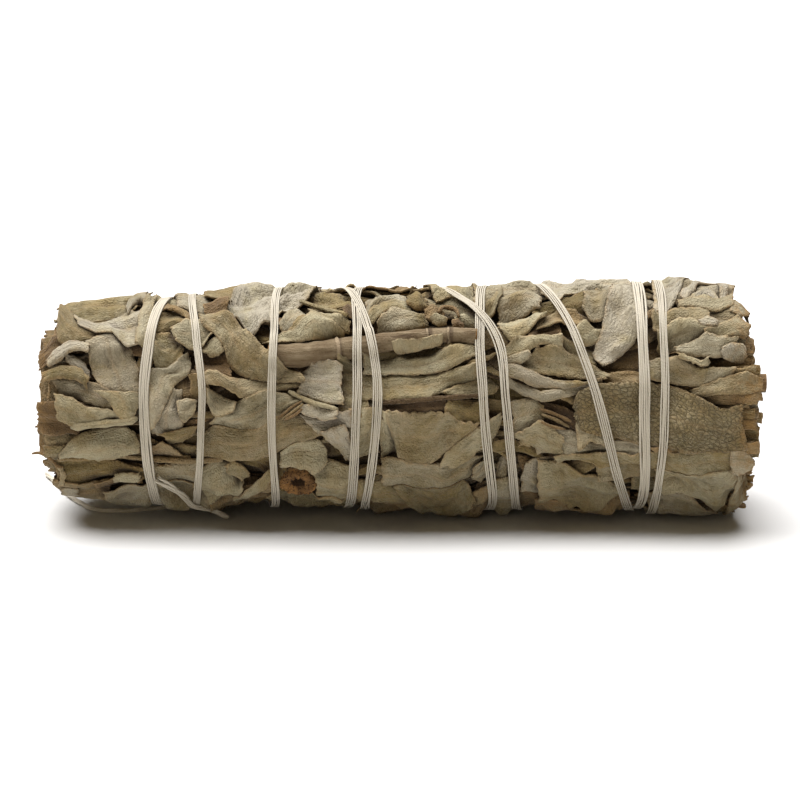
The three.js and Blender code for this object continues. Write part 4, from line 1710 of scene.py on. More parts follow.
    def bar(self, twig: Twig) -> None:
        """Lay a stalk on the leaves: it follows their height, smoothed, plus half its thickness.

        Args:
            twig: the stalk.
        """
        spot = self.view.onto(twig.path, self.form, self.stalk_radius)
        spot = even(spot, max(int(line_length(spot) / 0.3), 12))
        rest = bridged(self.surface.read(spot[:, 0], spot[:, 1]), 0.15, 60)
        across = np.linspace(-1, 1, 5) * twig.radius
        top = np.repeat((rest + 1.4 * twig.radius)[:, None], 5, 1)
        self.surface.lay(np.repeat(spot[:, :1], 5, 1), spot[:, 1:] + across, top)
        middle = spot[len(spot) // 2]
        self.bars.append((Column.home(*middle), twig, spot, rest + 0.6 * twig.radius))

    def dress(self, material: Material, winding: Winding) -> None:
        """Press the leaves under the thread and write one object for each outer leaf.

        Args:
            material: finish of the leaves.
            winding: the thread, settled.
        """
        mean = self.surface.blurred(5)
        for column in Column:
            for side in Side:
                home = column.leaf(side)
                shells = [self._shell(laid, winding, mean) for name, laid in self.laid if name == home]
                shells += [self._bar_shell(*bar, winding) for name, *bar in self.bars if name == home]
                Shell.joined(shells).to_object(f"{home}_leaves", material, f"leaf_{home}", "leaf")

    def _shell(self, laid: Laid, winding: Winding, mean: Array) -> Shell:
        """Closed sheet of a laid leaf, pressed under the thread, with painted shade where it lies below the
        leaves round it.

        Args:
            laid: the leaf in place.
            winding: the thread.
            mean: grid of smoothed heights of all the leaves.

        Returns:
            The sheet.
        """
        radius = winding.press(laid.x, laid.turn, laid.radius)
        angle = np.degrees(laid.turn / UNROLL)
        # Painted shade where the leaf lies below the smoothed height of the leaves round it, less near the
        # open ends
        hollow_shade = np.clip((self.surface.read(laid.x, laid.turn, mean) - laid.radius - 0.2) / 0.9, 0.0, 1.0)
        open_end = 1.0 - 0.8 * smoothstep(np.abs(laid.x), 41.0, 44.5)
        deep = np.clip(0.4 * laid.marks["deep"] + hollow_shade, 0.0, 1.0) * open_end
        return slab(self.form.place(laid.x, angle, radius),
                    self.form.place(laid.x, angle, radius - self.drape.thickness),
                    laid.lay, {**laid.marks, "deep": deep})

    def _bar_shell(self, twig: Twig, spot: Array, radius: Array, winding: Winding) -> Shell:
        """Round bar of a laid stalk with a lumpy outline, pressed under the thread.

        Args:
            twig: the stalk.
            spot: rows of x and turn along it.
            radius: layer radius of its middle line.
            winding: the thread.

        Returns:
            The bar.
        """
        knot = Ripple(self.rng, 2.5)
        length = line_length(spot)
        run = np.linspace(0, length, len(spot))
        blunt = 0.6 + 0.4 * smoothstep(np.minimum(run, length - run), 0, 0.7)
        pressed = winding.press(spot[:, 0], spot[:, 1], radius + twig.radius) - twig.radius
        path = self.form.place(spot[:, 0], np.degrees(spot[:, 1] / UNROLL), pressed)
        # A little dry rim over the whole stalk, partly a painted highlight, and no painted shade
        shell = tube(path, self.form.outward(spot[:, 0], path), twig.radius * (1 + 0.16 * knot(run)) * blunt,
                     self.stalk_sides, twig.tint.marks(run, veined=0.05, rim=0.3, deep=0.0))
        jump = self.rng.uniform(0, self.map_range, 2)
        shell.quad_map = shell.quad_map * (1.0, 2 * math.pi * twig.radius) + jump
        shell.tri_map = shell.tri_map + jump
        return shell


# Stems

@dataclass
class SurfaceStem:
    """The stem that shows among the leaves on the front, with raised rings where leaves grew."""

    path: str = "268,351 300,351 337,346 375,341 410,335 449,332 477,334"
    radius: Span = (1.62, 1.05)
    rings: tuple[float, ...] = (0.335, 0.765, 0.865)
    ring_rise: float = 0.2
    layer_radius: float = 15.0
    crest: float = 15.25
    sink: float = 0.75
    length: float = 28.0
    points: int = 160
    sides: int = 28

    def settle(self, wrap: Wrapping) -> None:
        """Lay the stem half sunk in the leaves and raise the surface over it.

        Args:
            wrap: the leaves.
        """
        self.wrap = wrap
        self.spot = even(wrap.view.onto(self.path, wrap.form, self.layer_radius), self.points)
        u = np.linspace(0, 1, self.points)
        self.collar = sum(np.exp(-((u - r) / 0.010) ** 2) for r in self.rings)
        self.scar = sum(np.exp(-((np.abs(u - r - 0.004) - 0.014) / 0.005) ** 2) for r in self.rings)
        size = self.radius[0] + (self.radius[1] - self.radius[0]) * smoothstep(u, 0.2, 0.8)
        self.size = size * (1 + self.ring_rise * self.collar)
        self.centre = self.crest - self.size * self.sink
        s = np.linspace(-1, 1, 11)
        top = self.centre[:, None] + self.size[:, None] * np.sqrt(np.maximum(1 - s ** 2, 0))
        wrap.surface.lay(np.repeat(self.spot[:, :1], len(s), 1),
                         self.spot[:, 1:] + s * self.size[:, None], top, True)

    def dress(self, material: Material) -> None:
        """Write the stem with shallow flutes and a slight wander of its outline.

        Args:
            material: finish of the stem.
        """
        rng = Seed.FRONT_STEM.draws()
        form = self.wrap.form
        x, turn = self.spot.T
        top = self.wrap.surface.drawn(x, turn, self.centre + self.size)
        line = form.place(x, np.degrees(turn / UNROLL), top - self.size)
        spin = np.arange(self.sides) / self.sides * 2 * np.pi
        run = np.linspace(0, self.length, self.points)[:, None]
        flute = Ripple(rng, 0.9, 9.0)(run, spin[None] * 1.6) * 0.04 * np.sin(spin / 2)[None]
        bump = Ripple(rng, 3.0)(run, np.cos(spin)[None] * 2.0) * 0.06
        size = self.size[:, None] * (1 + flute + bump)
        ends = np.zeros(self.points)
        ends[[0, -1]] = 1.0
        marks = {"ring": np.clip(self.scar, 0, 1), "collar": np.clip(self.collar, 0, 1), "cut": ends}
        tube(line, form.outward(x, line), size, self.sides, marks).to_object(
            "front_stem", material, "surface_stem", "stem")


@dataclass
class CutStub:
    """Stub of a thick stem that points out of the front, cut across, with a hollow pith.

    The profile lists shares of the radius and heights from the bunch's axis: wall, rounded lip, cut
    face and sunk pith.
    """

    x: float = -13.5
    angle: float = -34.5
    radius: float = 2.1
    sides: int = 64
    oval: Span = (1.15, 0.84)
    parting: Span = (1.05, 0.82)
    bed_half: float = 1.5
    bed_radius: float = 14.2
    profile: tuple[Span, ...] = (
        (0.05, 9.4), (0.95, 9.4), (1.0, 11.4), (1.04, 13.4), (1.02, 14.5), (0.96, 14.85), (0.86, 15.0),
        (0.72, 15.0), (0.58, 14.85), (0.47, 14.8), (0.41, 14.7), (0.38, 14.4), (0.34, 13.2), (0.02, 13.1))

    def settle(self, wrap: Wrapping) -> None:
        """Keep the place of the stub, raise the surface round it and part the leaves over it.

        Args:
            wrap: the leaves.
        """
        self.form = wrap.form
        grid = wrap.surface
        middle = math.radians(self.angle) * UNROLL
        along = (grid.places() - self.x)[:, None]
        whole = grid.count_turn * grid.pace
        aside = (np.arange(grid.count_turn)[None] * grid.pace - middle + whole / 2) % whole - whole / 2
        grid.parted |= (along / self.parting[0]) ** 2 + (aside / self.parting[1]) ** 2 < self.radius ** 2
        step = np.linspace(-self.bed_half, self.bed_half, 9)
        x, turn = np.meshgrid(self.x + step, middle + step, indexing="ij")
        grid.lay(x, turn, np.full_like(x, self.bed_radius))

    def dress(self, material: Material) -> None:
        """Write the stub as a turned profile: wall, rounded lip, cut face, and a sunk pith.

        The profile is carried round the stub's own axis; waves roughen its outline and its lip.

        Args:
            material: finish of the stub.
        """
        rng = Seed.STUB.draws()
        share, level = np.array(self.profile).T[..., None]
        spin = np.arange(self.sides) / self.sides * 2 * np.pi
        around = (np.cos(spin)[None] * 2, np.sin(spin)[None] * 2)
        wobble = 1 + 0.11 * Ripple(rng, 2.6)(*around) + 0.03 * Ripple(rng, 0.7)(*around)
        pith = 1 + 0.12 * Ripple(rng, 2.2)(*around)
        radius = share * self.radius * np.where(share > 0.5, wobble, pith)
        lip = (0.20 * Ripple(rng, 1.3)(*around) + 0.08 * Ripple(rng, 0.5)(*around)) * (share > 0.4)
        lip = lip + 0.25 * radius * np.sin(spin)[None] * (level > 12.0)
        height = (level + lip) * self.form.taper(np.array(self.x))
        lean = math.radians(self.angle)
        axis = np.array([0.0, -math.cos(lean), math.sin(lean)])
        side = np.array([0.0, -math.sin(lean), -math.cos(lean)]) * self.oval[1]
        out = (np.cos(spin)[None, :, None] * np.array([self.oval[0], 0, 0])
               + np.sin(spin)[None, :, None] * side)
        points = (np.array([self.x, 0.0, self.form.axis_height]) + height[..., None] * axis
                  + radius[..., None] * out)
        quads, caps = ring_faces(len(share), self.sides)
        ends = points[[0, -1]].mean(axis=1)
        marks = {"cut": np.append(np.repeat((level[:, 0] > 13.5) * 1.0, self.sides), [0.0, 0.0]),
                 "ring": np.append(np.repeat((share[:, 0] < 0.4) * 1.0, self.sides), [1.0, 1.0])}
        Shell(np.concatenate([points.reshape(-1, 3), ends]), quads, np.zeros((len(quads), 4, 2)), caps,
              np.zeros((len(caps), 3, 2)), marks).to_object("cut_stub", material, "cut_stem_stub", "cut_stem")


# Inside of the bunch

@dataclass(frozen=True)
class Layer:
    """A layer of wrapped leaves in pairs: half their width and the first place in degrees, and their radius.

    The splits are the x at which the tips of each pair meet.
    """

    name: str
    half: float
    start: float
    splits: tuple[float, ...]
    radius: float


@dataclass
class Inside:
    """What shows at the two ends: stems at the core, rolled leaves round them and two wrapped layers."""

    form: Form
    core_radius: float = 1.4
    core_sides: int = 14
    core_ends: tuple[Span, ...] = (
        (-49.6, 48.2), (-48.4, 50.0), (-50.0, 47.0), (-47.6, 49.2), (-49.0, 46.6), (-48.0, 48.8),
        (-49.4, 47.8))
    core_trim: Span = (1.3, 0.6)
    pith_depth: float = 0.5
    roll_ends: tuple[Span, ...] = ((-48.6, 46.8), (-47.4, 47.6), (-48.8, 46.0))
    roll_count: int = 9
    roll_rows: int = 34
    roll_columns: int = 110
    roll_thickness: float = 0.24
    rays: int = 120
    room: Span = (3.3, 9.0)
    layers: tuple[Layer, ...] = (
        Layer("inner", 56.0, 20.0, (10, -14, 6, -8), 9.0),
        Layer("middle", 40.0, 35.0, (-12, 14, -4, 16, -16, 4), 10.3))
    layer_ends: Span = (-47.0, 46.2)
    tip_gap: float = 0.5
    sheets: int = 3
    sheet_pitch: float = 0.42
    sheet_thickness: float = 0.32
    sheet_rows: int = 32
    sheet_columns: int = 44
    map_range: float = 300.0
    rng: np.random.Generator = field(default_factory=Seed.INSIDE.draws)

    @staticmethod
    def _middle(node: str) -> Array:
        """Y and Z of the middle of a solid."""
        low, high = (np.array(c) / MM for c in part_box(node))
        return 0.5 * (low + high)[1:]

    def stems(self, material: Material) -> None:
        """Write the core stems: round bars whose radius wanders, with a sunk pith at the far cut.

        Args:
            material: finish of the stems.
        """
        rng = self.rng
        spin = np.arange(self.core_sides) / self.core_sides * 2 * np.pi
        for k, (start, end) in enumerate(self.core_ends):
            y, z = self._middle(f"core_stem_{k + 1}")
            y, z = y + rng.uniform(-0.2, 0.2), z + rng.uniform(-0.2, 0.2)
            start, end = start + self.core_trim[0], end - self.core_trim[1]
            x = np.concatenate([[start, start + 0.01], np.linspace(start + 0.02, end - 0.02, 70),
                                [end - 0.01, end]])
            size = self.core_radius * rng.uniform(0.68, 1.0) * (
                1 + 0.12 * Ripple(rng, 4.0)(x[:, None] * 0.4, np.sin(spin)[None] * 2)
                + 0.09 * np.cos(2 * spin + 6 * rng.random())[None]
                + 0.05 * np.cos(3 * spin + 6 * rng.random())[None])
            size[[0, -1]] *= 0.45
            bend = Ripple(rng, 16.0)
            path = np.stack([x, y + 0.3 * bend(x, 0.0), z + 0.3 * bend(x, 50.0)], 1)
            up = np.tile([0.0, 0.0, 1.0], (len(x), 1))
            cut = np.clip(np.exp(-np.minimum(x - start, end - x) / 0.1), 0, 1) * rng.uniform(0.35, 0.9)
            tube(path, up, size, self.core_sides, {"ring": 0 * x, "cut": cut}, self.pith_depth).to_object(
                f"core_twig_{k + 1}", material, f"core_stem_{k + 1}", "stem")

    def _room(self, centre: Array, around: Array) -> Array:
        """Distance from the middle of a rolled leaf to what hems it in, in each direction.

        A ray from the middle ends at the wrapped layers (a circle), at the core stems (a smaller
        circle) or at the neighbours (two lines through the axis), whichever comes first.

        Args:
            centre: middle of the roll from the axis, in Y and Z.
            around: directions as angles from Y towards Z.

        Returns:
            The distances, with their corners rounded off.
        """
        ahead = np.stack([np.cos(around), np.sin(around)], 1)
        along, square = ahead @ centre, centre @ centre
        far = -along + np.sqrt(along ** 2 + self.room[1] ** 2 - square)
        inside = along ** 2 + self.room[0] ** 2 - square
        near = np.where((inside > 0) & (along < 0), -along - np.sqrt(np.maximum(inside, 0.0)), FAR_OFF)
        reach = np.minimum(far, near)
        for side in (-1, 1):
            line = math.atan2(centre[1], centre[0]) + side * math.pi / self.roll_count
            normal = side * np.array([-math.sin(line), math.cos(line)])
            leaving = ahead @ normal
            to_line = -(centre @ normal) / np.maximum(leaving, 0.05)
            reach = np.where(leaving > 0.05, np.minimum(reach, to_line), reach)
        return sum(np.roll(reach, k) for k in range(-9, 10)) / 19.0

    def rolls(self, material: Material) -> None:
        """Write the rolled leaves: a sheet whose section is a spiral, squeezed into the room it has.

        Args:
            material: finish of the leaves.
        """
        rng = self.rng
        around = np.arange(self.rays) / self.rays * 2 * np.pi
        u = np.linspace(-1, 1, self.roll_rows)[:, None]
        u = 0.5 + u * (0.625 - 0.125 * u ** 2)
        v = np.linspace(0, 1, self.roll_columns)[None, :]
        for k in range(self.roll_count):
            y, z = self._middle(f"rolled_leaf_{k + 1}")
            room = self._room(np.array([y, z - self.form.axis_height]), around)
            start, end = self.roll_ends[k % 3]
            ragged = Ripple(rng, 0.25)
            x0, x1 = start + 0.6 * ragged(v, 0.0) + 0.7, end - 0.6 * ragged(v, 5.0) - 0.7
            x = x0 + (x1 - x0) * u
            turns, begin, off_y, off_z = rng.uniform((2.6, 0.0, -0.6, -0.6), (4.2, 6.3, 0.6, 0.6))
            hand = 1 if rng.random() < 0.5 else -1
            spin = hand * v * turns * 2 * np.pi + begin + 0 * u
            crumple, dent = Ripple(rng, 1.7), Ripple(rng, 9.0)
            size = np.interp(spin % (2 * np.pi), np.append(around, 2 * np.pi), np.append(room, room[0]))
            size = size * (0.14 + 0.84 * v) * (
                1 + 0.24 * crumple(2 * np.cos(spin), 2 * np.sin(spin)) * (1.1 - v)
                + 0.07 * dent(x, 3 * np.cos(spin)))
            bend = Ripple(rng, 18.0)
            y, z = y + off_y * (1 - v) + 0.3 * bend(x, 0.0), z + off_z * (1 - v) + 0.3 * bend(x, 60.0)
            way = slice(None, None, -hand)
            outer, inner = (np.stack([x, y + r * np.cos(spin), z + r * np.sin(spin)], -1)[:, way]
                            for r in (size, size - self.roll_thickness))
            tint = (SAGE, OLIVE, TAN)[k % 3]
            # Painted shade over the rolled leaves; their rims at the cut ends are a dry margin and partly a
            # painted highlight
            marks = tint.marks(x, veined=0.1, rim=np.exp(-np.minimum(x - x0, x1 - x) / 0.3), deep=0.2)
            lay = np.stack([x, v * 30.0 + 0 * u], -1) + rng.uniform(0, self.map_range, 2)
            slab(outer, inner, lay, {n: m[:, way] for n, m in marks.items()}).to_object(
                f"rolled_leaf_sheet_{k + 1}", material, f"rolled_leaf_{k + 1}", "rolled_leaf")

    def wraps(self, material: Material) -> None:
        """Write the wrapped layers: in each solid's place, a few thin crumpled sheets.

        Args:
            material: finish of the leaves.
        """
        for layer in self.layers:
            for k, split in enumerate(layer.splits):
                middle = layer.start + k * 360.0 / len(layer.splits)
                for side in Side:
                    sheets = [self._sheet(layer, middle, split, side, n) for n in range(self.sheets)]
                    node = f"{layer.name}_leaf_{k + 1}_{side.value}"
                    Shell.joined(sheets).to_object(f"{node}_sheets", material, node, "leaf")

    def _sheet(self, layer: Layer, middle: float, split: float, side: Side, n: int) -> Shell:
        """One crumpled sheet: an arc of the layer with a ragged end and a blunt tip.

        Args:
            layer: the layer.
            middle: angle of the sheet's middle.
            split: x at which the tips of the pair meet.
            side: the end from which it runs.
            n: number of the sheet, counted outwards.

        Returns:
            The sheet, with more rows near the end that shows.
        """
        rng = self.rng
        left = side is Side.LEFT
        base = layer.radius + self.sheet_pitch * n
        near = np.linspace(0, 1, self.sheet_rows)[:, None]
        near = 0.35 * near + 0.65 * near ** 2
        u = near if left else 1 - near[::-1]
        v = np.linspace(0, 1, self.sheet_columns)[None, :]
        ragged, tear = Ripple(rng, 0.3), Ripple(rng, 0.12)
        cut = 0.6 * ragged(v, n) + 0.22 * tear(v, n) + rng.uniform(-0.6, 0.6)
        x0 = self.layer_ends[0] + cut if left else split + self.tip_gap
        x1 = split - self.tip_gap if left else self.layer_ends[1] - cut
        x = x0 + (x1 - x0) * u
        width = layer.half * (1 - 0.6 * smoothstep(u if left else 1 - u, 0.7, 1.0))
        angle = middle + rng.uniform(-5, 5) + (2 * v - 1) * width
        turn = np.radians(angle) * base
        wave = 0.26 * Ripple(rng, 3.0, 3.0)(x, turn)
        radius = base + wave + 0.25 * (1 - 2 * v)
        tint = (OLIVE, SAGE, TAN)[int(rng.integers(3))]
        from_cut = x - x0 if left else x1 - x
        # Painted shade over the wrapped sheets; the rim at the cut end is a dry margin and partly a painted
        # highlight
        marks = tint.marks(x, veined=0.1, rim=np.exp(-from_cut / 0.3), deep=0.3)
        lay = np.stack([x, turn], -1) + rng.uniform(0, self.map_range, 2)
        return slab(self.form.place(x, angle, radius + self.sheet_thickness),
                    self.form.place(x, angle, radius), lay, marks)


# Thread

def smoothed(values: Array, window: Array) -> Array:
    """Running mean of values, weighted by a window of odd length; the ends are carried on."""
    return np.convolve(np.pad(values, len(window) // 2, mode="edge"), window / window.sum(), mode="valid")


@dataclass
class Winding:
    """The thread wound along the bunch and back: five strands side by side, drawn tight.

    Each turn lists the x of the thread at the stations, which are angles. Each turn also has a
    radius of its strands and a distance between them.
    """

    form: Form
    strand: tuple[float, ...] = (0.14, 0.095, 0.098, 0.098, 0.098, 0.14, 0.098, 0.098, 0.098, 0.098)
    count: int = 5
    sides: int = 8
    stations: tuple[float, ...] = (-76.0, 14.0, 48.0, 104.0, 200.0)
    turns: tuple[tuple[float, ...], ...] = (
        (-32.4, -33.6, -33.0, -31.5, -31.0), (-27.8, -25.9, -26.8, -27.9, -23.5),
        (-17.1, -16.8, -16.6, -16.3, -12.0), (-7.3, -5.6, -5.6, -5.3, 3.0), (11.9, 10.9, 10.5, 11.7, 22.0),
        (31.6, 31.9, 31.8, 32.0, 33.0), (33.8, 34.6, 34.6, 34.7, 33.8), (31.3, 25.9, 23.0, 18.3, 17.0),
        (15.9, 13.8, 12.6, 4.6, -1.0), (-4.7, -2.9, -4.0, -8.1, -17.0))
    pitch: tuple[float, ...] = (0.27, 0.20, 0.22, 0.25, 0.26, 0.28, 0.225, 0.26, 0.26, 0.26)
    first: Span = (-112.0, -30.4)
    last: Span = (248.0, -27.0)
    step: float = 2.5
    bite: float = 0.15
    bridge: int = 19
    lowest: float = 14.8
    crossing: float = 0.26
    over_leaf: float = 0.34
    over_stem: float = 0.03
    soft: float = 0.45

    def route(self) -> tuple[Array, Array]:
        """Middle line of the thread: x is a cubic through the stations with neighbour-difference slopes.

        Returns:
            The angle, counted on through the turns, and x.
        """
        angle = [self.first[0]] + [s + 360.0 * n for n in range(len(self.turns)) for s in self.stations]
        angle += [self.last[0] + 360.0 * (len(self.turns) - 1)]
        x = [self.first[1]] + [v for turn in self.turns for v in turn] + [self.last[1]]
        knots, values = np.array(angle), np.array(x)
        slopes = np.gradient(values, knots)
        slopes[1:-1] = (values[2:] - values[:-2]) / (knots[2:] - knots[:-2])
        at = np.arange(knots[0], knots[-1], self.step)
        return at, cubic(knots, values, slopes, at)

    def settle(self, surface: Surface) -> None:
        """Find how low the thread lies and how far it presses the leaves down.

        Args:
            surface: the leaves as laid.
        """
        self.surface = surface
        surface.draw_tight(self.form)
        self.angle, self.x = self.route()
        self.turn = np.radians(self.angle) * UNROLL
        self.level = self._level()
        number = ((self.angle - self.first[0]) // 360.0).astype(int)
        number = np.clip(number, 0, len(self.turns) - 1)
        self.spread, self.size = (smoothed(np.array(a)[number], np.hanning(self.bridge))
                                  for a in (self.pitch, self.strand))
        self.lift = self._crossings()
        self.limit = self._limit()

    def _level(self) -> Array:
        """Level of the thread along its run.

        It is the height of the leaves, averaged over about forty degrees so that the thread bridges
        hollows, less the bite. It stays over the stem, and over leaves that lie on the stem.

        Returns:
            Layer radius of the thread's underside.
        """
        surface, x, turn = self.surface, self.x, self.turn
        beside = np.linspace(-0.7, 0.7, 5)
        high = surface.read(x[:, None] + beside, turn[:, None] + 0 * beside).mean(axis=1)
        lowest = self.lowest + 0.3 * np.sin(np.radians(self.angle))
        level = smoothed(surface.drawn(x, turn, np.maximum(high, lowest)), np.hanning(self.bridge))
        hard = surface.read(x, turn, surface.hard)
        covered = surface.read(x, turn) > hard + 0.12
        firm = surface.drawn(x, turn, hard) + np.where(covered, self.over_leaf, self.over_stem)
        firm = np.stack([np.roll(firm, k) for k in range(-3, 4)]).max(axis=0)
        return np.maximum(level - self.bite, smoothed(firm, np.ones(5)))

    def _crossings(self) -> Array:
        """How far the thread is lifted where it comes near a turn that was wound before.

        Returns:
            The lift along its run.
        """
        whole = int(round(360.0 / self.step))
        lift = np.zeros_like(self.x)
        for n in range(1, len(self.turns)):
            near = np.abs(self.x[whole * n:] - self.x[:len(self.x) - whole * n])
            lift[whole * n:] = np.maximum(lift[whole * n:], 1.0 - smoothstep(near, 0.9, 3.0))
        return lift * self.crossing

    def _limit(self) -> Array:
        """Greatest height that the thread leaves to the leaves.

        Beside the thread they may rise again over about two millimetres. The stem keeps its height,
        and where the leaves are parted they are cut down.

        Returns:
            Grid of heights.
        """
        surface = self.surface
        limit = np.full(surface.height.shape, FAR_OFF)
        apart = np.abs(surface.places()[None] - self.x[:, None]) - 2.4 * self.spread[:, None]
        room = self.level[:, None] + self._rise(apart)
        column = np.round(self.turn / surface.pace).astype(int)
        for shift in (-1, 0, 1):
            np.minimum.at(limit.T, (column + shift) % surface.count_turn, room)
        hard = np.stack([np.roll(surface.hard, k, axis=1) for k in range(-3, 4)]).max(axis=0)
        limit = np.maximum(limit, surface.base + (hard - surface.base) * surface.share + 0.32)
        return np.where(surface.parted, surface.base + 0.6, limit)

    @staticmethod
    def _rise(far: Array) -> Array:
        """Room above the thread's level at a distance beside it."""
        far = np.maximum(far, 0.0)
        return 2.6 * (1 - np.exp(-(far / 1.5) ** 1.2)) + 0.4 * far

    def nearest(self, x: Array, turn: Array) -> Array:
        """Distance along X from points to the nearest turn of the thread.

        Args:
            x: places along the bunch.
            turn: turns.

        Returns:
            The distances.
        """
        angle = np.degrees(turn / UNROLL)[:, None]
        apart = np.abs((self.angle[None] - angle + 180.0) % 360.0 - 180.0)
        return np.where(apart < 2.0 * self.step, np.abs(self.x[None] - x[:, None]), FAR_OFF).min(axis=1)

    def press(self, x: Array, turn: Array, radius: Array) -> Array:
        """Radius of leaf points once the bunch is drawn tight and the thread has pressed them down."""
        limit = self.surface.read(x, turn, self.limit)
        return sunk(self.surface.drawn(x, turn, radius), limit - self.soft, self.soft)

    def dress(self, material: Material) -> None:
        """Write the strands: each keeps its place across the thread and wanders a little.

        Args:
            material: finish of the thread.
        """
        rng = Seed.THREAD.draws()
        tight = 1 - smoothstep(self.spread / self.size, 1.6, 2.0)
        shells = []
        for k in range(self.count):
            wander, rise = Ripple(rng, 70.0), Ripple(rng, 40.0)
            offset = (k - (self.count - 1) / 2) * self.spread * (1 + 0.14 * wander(self.angle))
            x = self.x + (offset + 0.05 * rise(self.angle))
            radius = self.level + self.size + self.lift + tight * 0.12 * (k % 2)
            radius = radius + 0.05 * rise(self.angle, 8.0)
            path = self.form.place(x, self.angle, radius)
            size = self.size * (1 + 0.06 * wander(self.angle * 3))
            shells.append(tube(path, self.form.outward(x, path), size, self.sides, {}))
        Shell.joined(shells).to_object("wound_thread", material, "binding_thread", "thread")


@dataclass
class Tails:
    """The two free ends of the thread: one crosses the front, one lies on the table."""

    form: Form
    strand: float = 0.19
    sides: int = 8
    lay_of_strands: float = 11.0
    front: str = "157,477 165,481.5 173,487 183,493 193,499.5"
    front_end: tuple[Colour, ...] = ((-25.2, -6.3, 1.6), (-23.2, -5.8, 0.5))
    front_radius: float = 14.5
    front_strands: int = 4
    over_leaf: float = 0.36
    over_thread: float = 0.3
    floor: tuple[Span, ...] = (
        (-30.5, 0.2), (-35.0, -1.6), (-38.5, -2.4), (-41.6, -1.6), (-44.0, 1.8), (-46.2, 6.2), (-47.6, 9.8),
        (-50.4, 16.8))
    floor_height: float = 0.40
    floor_strands: int = 3
    points: int = 110

    def _strands(self, path: Array, up: Array, wide: Array, count: int) -> Shell:
        """Strands laid round a path: their offset turns slowly as they run.

        Args:
            path: middle line.
            up: a direction at each of its points.
            wide: distance of the strands from the line, at each point.
            count: number of strands.

        Returns:
            The strands, joined.
        """
        run = run_along(path)
        _, first, second = path_frame(path, up)
        size = self.strand * (1 - 0.45 * (1 - smoothstep(np.minimum(run, run[-1] - run), 0.0, 0.5)))
        shells = []
        for k in range(count):
            spin = 2 * np.pi * (k / count + run / self.lay_of_strands) + 0.6
            shift = second * (np.cos(spin) * wide)[:, None]
            shift = shift + first * (np.sin(spin) * np.minimum(wide, 0.16))[:, None]
            shells.append(tube(path + shift, up, size, self.sides, {}))
        return Shell.joined(shells)

    def on_table(self, material: Material) -> None:
        """Args:
            material: finish of the thread.
        """
        path = even(np.array([[x, y, self.floor_height] for x, y in self.floor]), self.points)
        up = np.tile([0.0, 0.0, 1.0], (len(path), 1))
        piece = self._strands(path, up, np.full(len(path), 0.15), self.floor_strands).to_object(
            "thread_tail_table", material, "thread_end_floor", "thread")
        tuple(path[0] * MM)
        [tuple(p) for p in path * MM]

    def across_front(self, material: Material, winding: Winding, view: Viewpoint) -> None:
        """Write the short end that crosses the front over the leaves, opened out where it starts.

        Args:
            material: finish of the thread.
            winding: the wound thread, which it crosses.
            view: the camera, whose picture gives its route.
        """
        spot = even(view.onto(self.front, self.form, self.front_radius), 90)
        x, turn = spot.T
        ground = winding.press(x, turn, winding.surface.read(x, turn))
        ground = ground + self.over_thread * (winding.nearest(x, turn) < 1.0)
        path = self.form.place(x, np.degrees(turn / UNROLL), bridged(ground, 0.0, 1500) + self.over_leaf)
        path = even(np.concatenate([path[::9], np.array(self.front_end)]), self.points)
        u = np.linspace(0, 1, len(path))
        wide = 0.30 + 0.28 * (1 - smoothstep(u, 0.0, 0.3)) + 0.06 * smoothstep(u, 0.85, 1.0)
        self._strands(path, self.form.outward(path[:, 0], path), wide, self.front_strands).to_object(
            "thread_tail_front", material, "thread_end_front", "thread")


# Studio

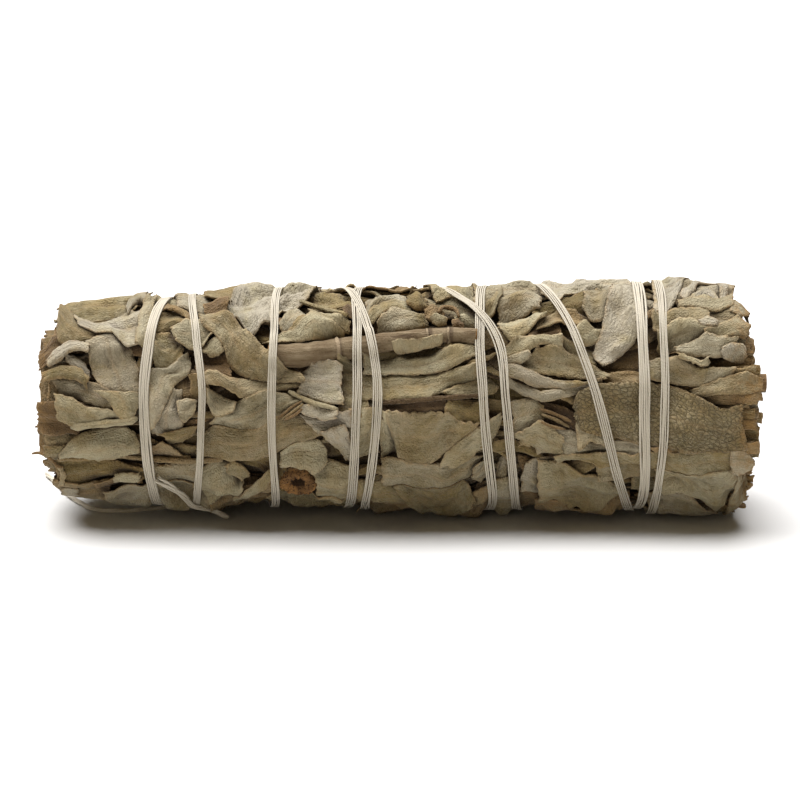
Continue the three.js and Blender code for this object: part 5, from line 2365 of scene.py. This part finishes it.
@dataclass(frozen=True)
class Studio:
    """Pale table, broad light from above, a soft box low in front and a dim warm room."""

    table: Colour = (0.655, 0.650, 0.635)
    table_half: float = 3.0
    table_points: int = 9
    above_turn: Colour = (-12.0, -10.5, 0.0)
    above_power: float = 7.7
    above_colour: Colour = (1.0, 1.0, 1.02)
    above_spread: float = 64.0
    front_place: Colour = (-0.25, -0.85, 0.18)
    front_turn: Colour = (79.0, 0.0, -16.0)
    front_power: float = 0.75
    front_colour: Colour = (1.0, 0.87, 0.68)
    front_size: float = 0.6
    room_colour: Colour = (1.0, 0.85, 0.62)
    room_strength: float = 0.12

    def make(self) -> None:
        """Lay the table and hang the lights."""
        self._lay_table()
        above = self._light("broad_light_above", "SUN", self.above_turn, self.above_power, self.above_colour)
        above.angle = math.radians(self.above_spread)
        front = self._light("soft_box_front", "AREA", self.front_turn, self.front_power, self.front_colour)
        front.size = self.front_size
        world = bpy.data.worlds.new("studio")
        world.use_nodes = True
        room = world.node_tree.nodes["Background"]
        room.inputs["Color"].default_value = (*self.room_colour, 1.0)
        room.inputs["Strength"].default_value = self.room_strength
        bpy.context.scene.world = world
        bpy.context.scene.view_settings.view_transform = "Standard"

    def _lay_table(self) -> None:
        """Write the flat table top."""
        b = Bench("table_top")
        grain = b.noise(b.scaled(b.on_object(), 40.0), 1.0, 3.0)
        shade = b.mix(grain, self.table, tuple(c * 0.985 for c in self.table))
        material = b.finish(shade, 0.6 + grain * 0.1, grain, 0.02)
        line = np.linspace(-self.table_half, self.table_half, self.table_points)
        u, v = np.meshgrid(line, line, indexing="ij")
        _, quads = grid_faces(self.table_points, self.table_points)
        mesh = bpy.data.meshes.new("table_top")
        mesh.from_pydata(np.stack([u, v, 0 * u], -1).reshape(-1, 3).tolist(), [], quads.tolist())
        mesh.materials.append(material)
        table = bpy.data.objects.new("table_top", mesh)
        bpy.context.collection.objects.link(table)

    def _light(self, name: str, kind: str, turn: Colour, power: float, colour: Colour) -> bpy.types.Light:
        """Hang one lamp in front of the bunch.

        Args:
            name: name of the lamp.
            kind: Blender's kind of light.
            turn: degrees by which it is turned.
            power: its strength.
            colour: its colour.

        Returns:
            The light.
        """
        data = bpy.data.lights.new(name, kind)
        data.color = colour
        data.energy = power
        lamp = bpy.data.objects.new(name, data)
        lamp.location = self.front_place
        lamp.rotation_euler = [math.radians(t) for t in turn]
        bpy.context.collection.objects.link(lamp)
        return data


def main() -> None:
    """Build the bunch in order: camera, free cord, inside, leaves, stems, thread, studio."""
    logging.basicConfig(level=logging.INFO, format="%(name)s %(message)s")
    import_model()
    low, high = (np.array(c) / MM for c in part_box("core_stem_1"))
    form = Form(axis_height=float(0.5 * (low + high)[2]))
    view = Viewpoint()
    view.make(form)
    cotton = ThreadFinish().make("cotton_thread")
    leaf = LeafFinish().make("dry_sage_leaf")
    twig = StemFinish().make("dry_stem")
    tails = Tails(form)
    tails.on_table(cotton)
    inside = Inside(form)
    inside.stems(twig)
    inside.rolls(leaf)
    inside.wraps(leaf)
    wrap, stem, stub, winding = Wrapping(form, view), SurfaceStem(), CutStub(), Winding(form)
    wrap.build(stem, stub)
    winding.settle(wrap.surface)
    wrap.dress(leaf, winding)
    stem.dress(twig)
    stub.dress(twig)
    winding.dress(cotton)
    tails.across_front(cotton, winding, view)
    Studio().make()


if __name__ == "__main__":
    main()
